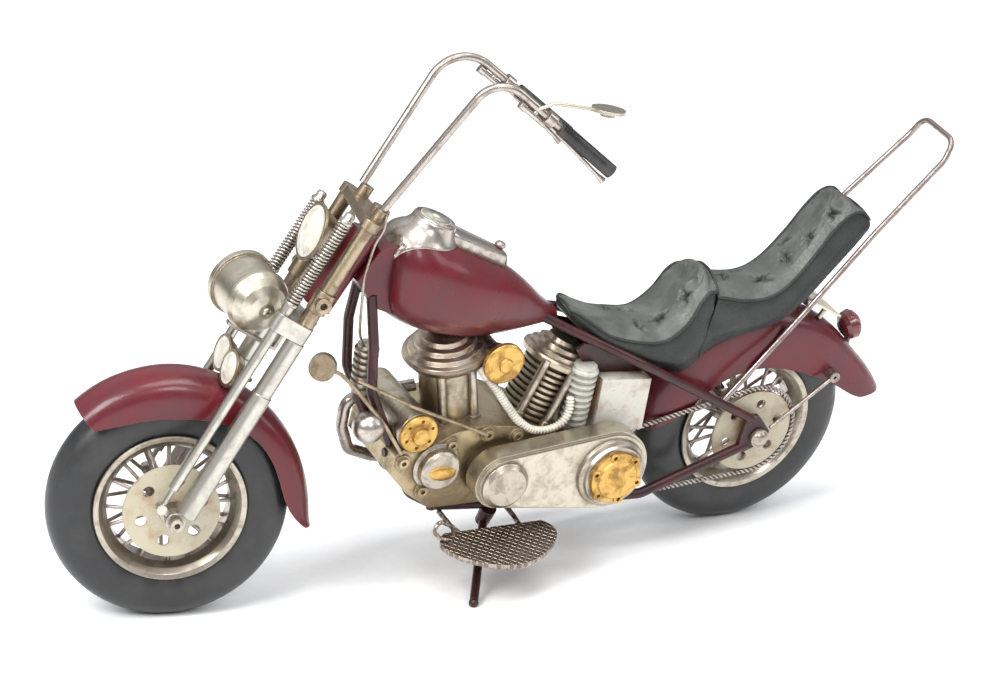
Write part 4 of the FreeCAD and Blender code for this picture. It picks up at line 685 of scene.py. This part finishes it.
REAR_ROWS += [(295.6, 122.6, 144.0, 149.4, 12.2, 13.4), (302.4, 130.2, 150.4, 155.2, 12.2, 13.2)]
REAR_ROWS += [(308.4, 137.0, 151.0, 153.6, 12.0, 13.0), (313.4, 142.8, 146.6, 148.2, 11.4, 12.4)]
FRONT_TUFTS = [(197.5, 6.0), (207.3, 5.0), (208.0, -7.5), (218.4, -6.0), (227.9, -7.0)]
REAR_TUFTS = [(251.9, 0.0), (267.8, -4.0), (278.6, -2.0), (288.0, -5.0), (296.4, -6.0)]
REAR_TUFTS += [(261.0, 6.5), (283.0, 5.5)]
SEAM = [(232.6, 80.0), (234.4, 98.0), (241.6, 122.0), (241.6, 140.0)]
ACROSS = 44  # faces across a cushion's top
ALONG = 11  # faces between two rows
TUFT_DEPTH = 3.4
TUFT_R = 1.3
STAR_ARMS = 6
STAR_REACH = 5.6
ARM_HALF = 0.62
FOLD_LIMITS = (-3.6, 1.9)
SLACK = 1.06  # how much larger the cover is cut than the place it is sewn to
SIM_SCALE = 10.0
SIM_FRAMES = 22
SKIRT_STEPS = (0.3, 0.65, 1.0)
FENDER_ARCH_R = 58.2
PIPING_R = 0.62


def seam_x(z):
    """Where the two cushions meet, at that height."""
    for (x0, z0), (x1, z1) in zip(SEAM, SEAM[1:]):
        if z <= z1:
            return x0 + (x1 - x0) * max(0.0, (z - z0) / (z1 - z0))
    return SEAM[-1][0]


def panel(rows):
    """The cushion's top before it is stuffed: rows of points from the right edge to the left one."""
    grid = []
    for x, under, edge, crown, half, half_under in rows:
        line = []
        for k in range(ACROSS + 1):
            v = 1.0 - 2.0 * k / ACROSS
            line.append(Vector((x, half * v, edge + (crown - edge) * (1 - abs(v) ** 2.3))))
        grid.append(line)
    return grid


def star_depths(flat, tufts):
    """How deep each point of the panel is drawn in: a button at each tuft, and folds like a star's arms."""
    drawn = {}
    for number, (x, y) in enumerate(tufts):
        button = min(flat, key=lambda point: (point.x - x) ** 2 + (point.y - y) ** 2)
        for n, point in enumerate(flat):
            away = (point - button).length
            turn = math.atan2(point.y - button.y, point.x - button.x) + 0.7 * number
            off_arm = abs((turn / (2 * math.pi) * STAR_ARMS + 0.5) % 1.0 - 0.5) * 2 * math.pi / STAR_ARMS
            reach = STAR_REACH * (0.8 + 0.35 * math.sin(2.3 * turn + number))
            if away < TUFT_R:
                drawn[n] = TUFT_DEPTH
            elif away < reach and away * off_arm < ARM_HALF:
                drawn[n] = max(drawn.get(n, 0.0), TUFT_DEPTH * 0.85 * (1 - away / reach) ** 1.2)
    return drawn


def surface_normals(grid):
    normals = []
    for i in range(len(grid)):
        for k in range(ACROSS + 1):
            a = grid[min(i + 1, len(grid) - 1)][k] - grid[max(i - 1, 0)][k]
            b = grid[i][min(k + 1, ACROSS)] - grid[i][max(k - 1, 0)]
            normals.append(b.cross(a).normalized())
    return [n if n.z > 0 else -n for n in normals]


def add_cloth(work, rest):
    """Cloth with pressure under it, held where it is sewn."""
    cloth = work.modifiers.new("cloth", "CLOTH")
    settings = cloth.settings
    settings.quality = 6
    settings.mass = 0.25
    settings.tension_stiffness = settings.compression_stiffness = 40
    settings.shear_stiffness = 15
    settings.bending_stiffness = 0.5
    settings.air_damping = 3.0
    settings.vertex_group_mass = "sewn"
    settings.rest_shape_key = rest
    settings.use_pressure = True
    settings.uniform_pressure_force = 11.0
    settings.effector_weights.gravity = 0.0
    cloth.point_cache.frame_start = 1
    cloth.point_cache.frame_end = SIM_FRAMES


def stuffed(name, grid, tufts):
    """The panel blown up as cloth between its sewn border and its tufts, with the folds that gives."""
    width = ACROSS + 1
    flat = [point for line in grid for point in line]
    normals = surface_normals(grid)
    drawn = star_depths(flat, tufts)
    middle = sum(flat, Vector()) / len(flat)
    scale = SIM_SCALE * MM
    mesh = bpy.data.meshes.new(name)
    start = [(point - normals[n] * drawn.get(n, 0.0)) * scale for n, point in enumerate(flat)]
    mesh.from_pydata(start, [], [(a, d, c, b) for a, b, c, d in bands(len(grid), width, closed=False)])
    work = bpy.data.objects.new(name, mesh)
    bpy.context.scene.collection.objects.link(work)
    pins = work.vertex_groups.new(name="sewn")
    border = {n for n in range(len(flat)) if n % width in (0, ACROSS) or n < width or n >= len(flat) - width}
    pins.add(sorted(border | set(drawn)), 1.0, "REPLACE")
    work.shape_key_add(name="Basis")
    rest = work.shape_key_add(name="cut")
    for n, point in enumerate(flat):
        rest.data[n].co = (middle + (point - middle) * SLACK) * scale
    add_cloth(work, rest)
    scene = bpy.context.scene
    for number in range(1, SIM_FRAMES + 1):
        scene.frame_set(number)
    done = work.evaluated_get(bpy.context.evaluated_depsgraph_get()).data
    placed = [vertex.co / scale for vertex in done.vertices]
    bpy.data.objects.remove(work)
    scene.frame_set(1)
    deepest, highest = FOLD_LIMITS
    eased = []
    for n, point in enumerate(placed):
        rise = (point - flat[n]).dot(normals[n])
        eased.append(point + normals[n] * (min(max(rise, deepest), highest) - rise))
    return [eased[i * width:(i + 1) * width] for i in range(len(grid))]


def arch_height(x, y):
    """The least height of the cushion's underside over the rear fender."""
    reach = FENDER_ARCH_R if abs(y) < 9 else FENDER_ARCH_R - 1.6 - (abs(y) - 9.0) * 1.4
    span = reach ** 2 - (x - SPROCKET.x) ** 2
    return TYRE_R + math.sqrt(span) if abs(y) < 13.0 and span > 0 else 0.0


def skirt(row, share, side):
    """A point of the skirt, that share of the way down from the edge to the underside."""
    x, under, edge, crown, half, half_under = row
    out = half + (half_under - half) * share + 0.6 * math.sin(share * math.pi)
    return Vector((x, side * out, edge + (under - edge) * share))


def make_cushion(name, node, rows, tufts, keep_x):
    """A closed cushion: stuffed top, straight skirts, hollow underside, and piping sewn along its border."""
    rows = spline(rows, ALONG)
    top = stuffed(name + "_cloth", panel(rows), tufts)
    for line in top:
        for point in line:
            point.x = keep_x(point.x, point.z)
    points = []
    width = 2 * (ACROSS + 1) + 2 * len(SKIRT_STEPS)
    for line, row in zip(top, rows):
        x, under, edge, crown, half, half_under = row
        below = [skirt(row, share, -1) for share in SKIRT_STEPS]
        for k in range(ACROSS + 1):
            y = -half_under + 2 * half_under * k / ACROSS
            below.append(Vector((x, y * 0.985, max(under, min(arch_height(x, y), edge - 1.0)))))
        below += [skirt(row, share, 1) for share in SKIRT_STEPS[::-1]]
        for point in below:
            point.x = keep_x(point.x, point.z)
        points += list(line) + below
    faces = bands(len(rows), width) + [face[::-1] for face in ends(len(rows), width)]
    dark = [k >= ACROSS for i in range(len(rows) - 1) for k in range(width)] + [True, True]
    # the tops take the lighter leather, partly painted light; skirts, underside and ends take the black one
    cushion = put(name, points, faces, "lit_seat_top", "chassis", "seat_leather")
    cushion.data.materials.append(FINISHES["leather"])
    for polygon, is_dark in zip(cushion.data.polygons, dark):
        polygon.material_index = 1 if is_dark else 0
    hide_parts(node)
    border = [line[0] for line in top] + top[-1][1:-1] + [line[-1] for line in top[::-1]] + top[0][1:-1][::-1]
    piping = sweep(evenly(border + border[:1], 0.8)[:-1], PIPING_R, 10, True)
    put(name + "_piping", *piping, "leather", "chassis", "seat_leather")


def make_seats():
    make_cushion("front_cushion", "seat_front", FRONT_ROWS, FRONT_TUFTS, lambda x, z: min(x, seam_x(z)))
    make_cushion("rear_cushion", "seat_rear", REAR_ROWS, REAR_TUFTS, lambda x, z: max(x, seam_x(z) + 0.3))


# ---- finishes of the CAD nodes ----
def islands(mesh):
    """The mesh's separate solids as lists of polygon numbers, the largest first."""
    owner = list(range(len(mesh.vertices)))

    def root(n):
        while owner[n] != n:
            owner[n] = owner[owner[n]]
            n = owner[n]
        return n

    places = {}
    for vertex in mesh.vertices:
        key = tuple(round(c * 1e6) for c in vertex.co)
        owner[root(vertex.index)] = root(places.setdefault(key, vertex.index))
    for edge in mesh.edges:
        owner[root(edge.vertices[0])] = root(edge.vertices[1])
    found = {}
    for polygon in mesh.polygons:
        found.setdefault(root(polygon.vertices[0]), []).append(polygon.index)

    def size(numbers):
        corners = [mesh.vertices[v].co for n in numbers for v in mesh.polygons[n].vertices]
        return sum(max(c[k] for c in corners) - min(c[k] for c in corners) for k in range(3))

    return sorted(found.values(), key=size, reverse=True)


def repaint(name, *finishes):
    """A grouped node's solids, the largest first, take these finishes; the rest take the last one."""
    mesh = NODES[name].data
    mesh.materials.clear()
    for finish in finishes:
        mesh.materials.append(FINISHES[finish])
    for rank, numbers in enumerate(islands(mesh)):
        for n in numbers:
            mesh.polygons[n].material_index = min(rank, len(finishes) - 1)


SOLID_FINISHES = {
    "clutch_cover": "nickel gold",
    "fork_legs": "sleeve sleeve bronze",
    "timing_cover": "nickel gold",
    "generator": "barrel gold",
    "air_cleaner": "gold nickel",
    "oil_tank": "stone filter",
    "front_electrics": "nickel chrome dark_metal",
    "primary_cover": "cream bronze nickel",
    "headlight": "cream cream lens bronze",
    "fork_clamps": "sleeve bronze",
    "front_hub": "disc nickel",
    "tail_lamp": "red_lens red_lens nickel",
    "licence_plate": "plate nickel",
    "fender_struts": "wire wire maroon_tube",
}


def dress_nodes():
    for finish, names in NODE_FINISH.items():
        for name in names.split():
            mesh = NODES[name].data
            mesh.materials.clear()
            mesh.materials.append(FINISHES[finish])
    for name, finishes in SOLID_FINISHES.items():
        repaint(name, *finishes.split())


# ---- floor, light and camera ----
AIM = Vector((-0.0110, 0.0029, 0.1082))
AZIMUTH = -28.80
ELEVATION = 20.08
ROLL = 2.57
DISTANCE = 1.648
LENS = 143.16


def make_floor():
    mesh = bpy.data.meshes.new("floor")
    side = 12.0
    corners = [(-side, -side, 0), (side, -side, 0), (side, side, 0), (-side, side, 0)]
    mesh.from_pydata(corners, [], [(0, 1, 2, 3)])
    floor = bpy.data.objects.new("floor", mesh)
    bpy.context.scene.collection.objects.link(floor)
    f = Finish("floor_paper")
    grain = f.ramp(f.noise(4.0, 5.0), 0.3, 0.7, 0.90, 0.93)
    colour = f.node("ShaderNodeCombineColor", {"Red": grain, "Green": grain, "Blue": grain}).outputs[0]
    mesh.materials.append(f.set(Base_Color=colour, Roughness=0.7))


def soft_box(name, azimuth, elevation, distance, width, height, power):
    """An area light that looks at the machine from that direction."""
    light = bpy.data.lights.new(name, "AREA")
    light.shape = "RECTANGLE"
    light.size = width
    light.size_y = height
    light.energy = power
    lamp = bpy.data.objects.new(name, light)
    bpy.context.scene.collection.objects.link(lamp)
    a, e = math.radians(azimuth), math.radians(elevation)
    back = Vector((math.sin(a) * math.cos(e), -math.cos(a) * math.cos(e), math.sin(e)))
    lamp.location = AIM + back * distance
    lamp.rotation_euler = back.to_track_quat("Z", "Y").to_euler()


def make_light():
    """A soft studio: a sky that is bright overhead and dim at the horizon, and four boxes."""
    world = bpy.data.worlds.new("studio")
    bpy.context.scene.world = world
    world.use_nodes = True
    tree = world.node_tree
    back = tree.nodes["Background"]
    place = tree.nodes.new("ShaderNodeTexCoord")
    split = tree.nodes.new("ShaderNodeSeparateXYZ")
    level = tree.nodes.new("ShaderNodeMapRange")
    level.interpolation_type = "SMOOTHSTEP"
    for socket, value in zip(level.inputs[1:5], (0.05, 0.75, 0.22, 1.0)):
        socket.default_value = value
    tree.links.new(place.outputs["Generated"], split.inputs[0])
    tree.links.new(split.outputs["Z"], level.inputs[0])
    tree.links.new(level.outputs[0], back.inputs["Strength"])
    back.inputs["Color"].default_value = (0.95, 0.97, 1.0, 1.0)
    soft_box("key_box", -68.0, 40.0, 1.5, 0.7, 0.7, 19.0)
    soft_box("side_box", -8.0, 36.0, 1.7, 0.42, 0.5, 7.0)
    soft_box("top_box", 10.0, 78.0, 1.6, 1.1, 0.7, 15.0)
    soft_box("fill_box", 60.0, 28.0, 1.8, 0.6, 0.9, 5.0)
    bpy.context.scene.view_settings.view_transform = "Standard"


def make_camera():
    camera = bpy.data.cameras.new("camera")
    camera.lens = LENS
    camera.sensor_width = 36.0
    camera.clip_start = 0.05
    camera.clip_end = 60.0
    eye = bpy.data.objects.new("camera", camera)
    bpy.context.scene.collection.objects.link(eye)
    a, e = math.radians(AZIMUTH), math.radians(ELEVATION)
    back = Vector((math.sin(a) * math.cos(e), -math.cos(a) * math.cos(e), math.sin(e)))
    right = Vector((math.cos(a), math.sin(a), 0))
    up = back.cross(right)
    r = math.radians(ROLL)
    tilted_right = right * math.cos(r) + up * math.sin(r)
    tilted_up = up * math.cos(r) - right * math.sin(r)
    basis = Matrix((tilted_right, tilted_up, back)).transposed().to_4x4()
    eye.matrix_world = Matrix.Translation(AIM + back * DISTANCE) @ basis
    bpy.context.scene.camera = eye


dress_nodes()
make_springs()
make_hose()
make_chain()
make_cable()
make_dash()
make_rivets()
make_seats()
make_floor()
make_light()
make_camera()
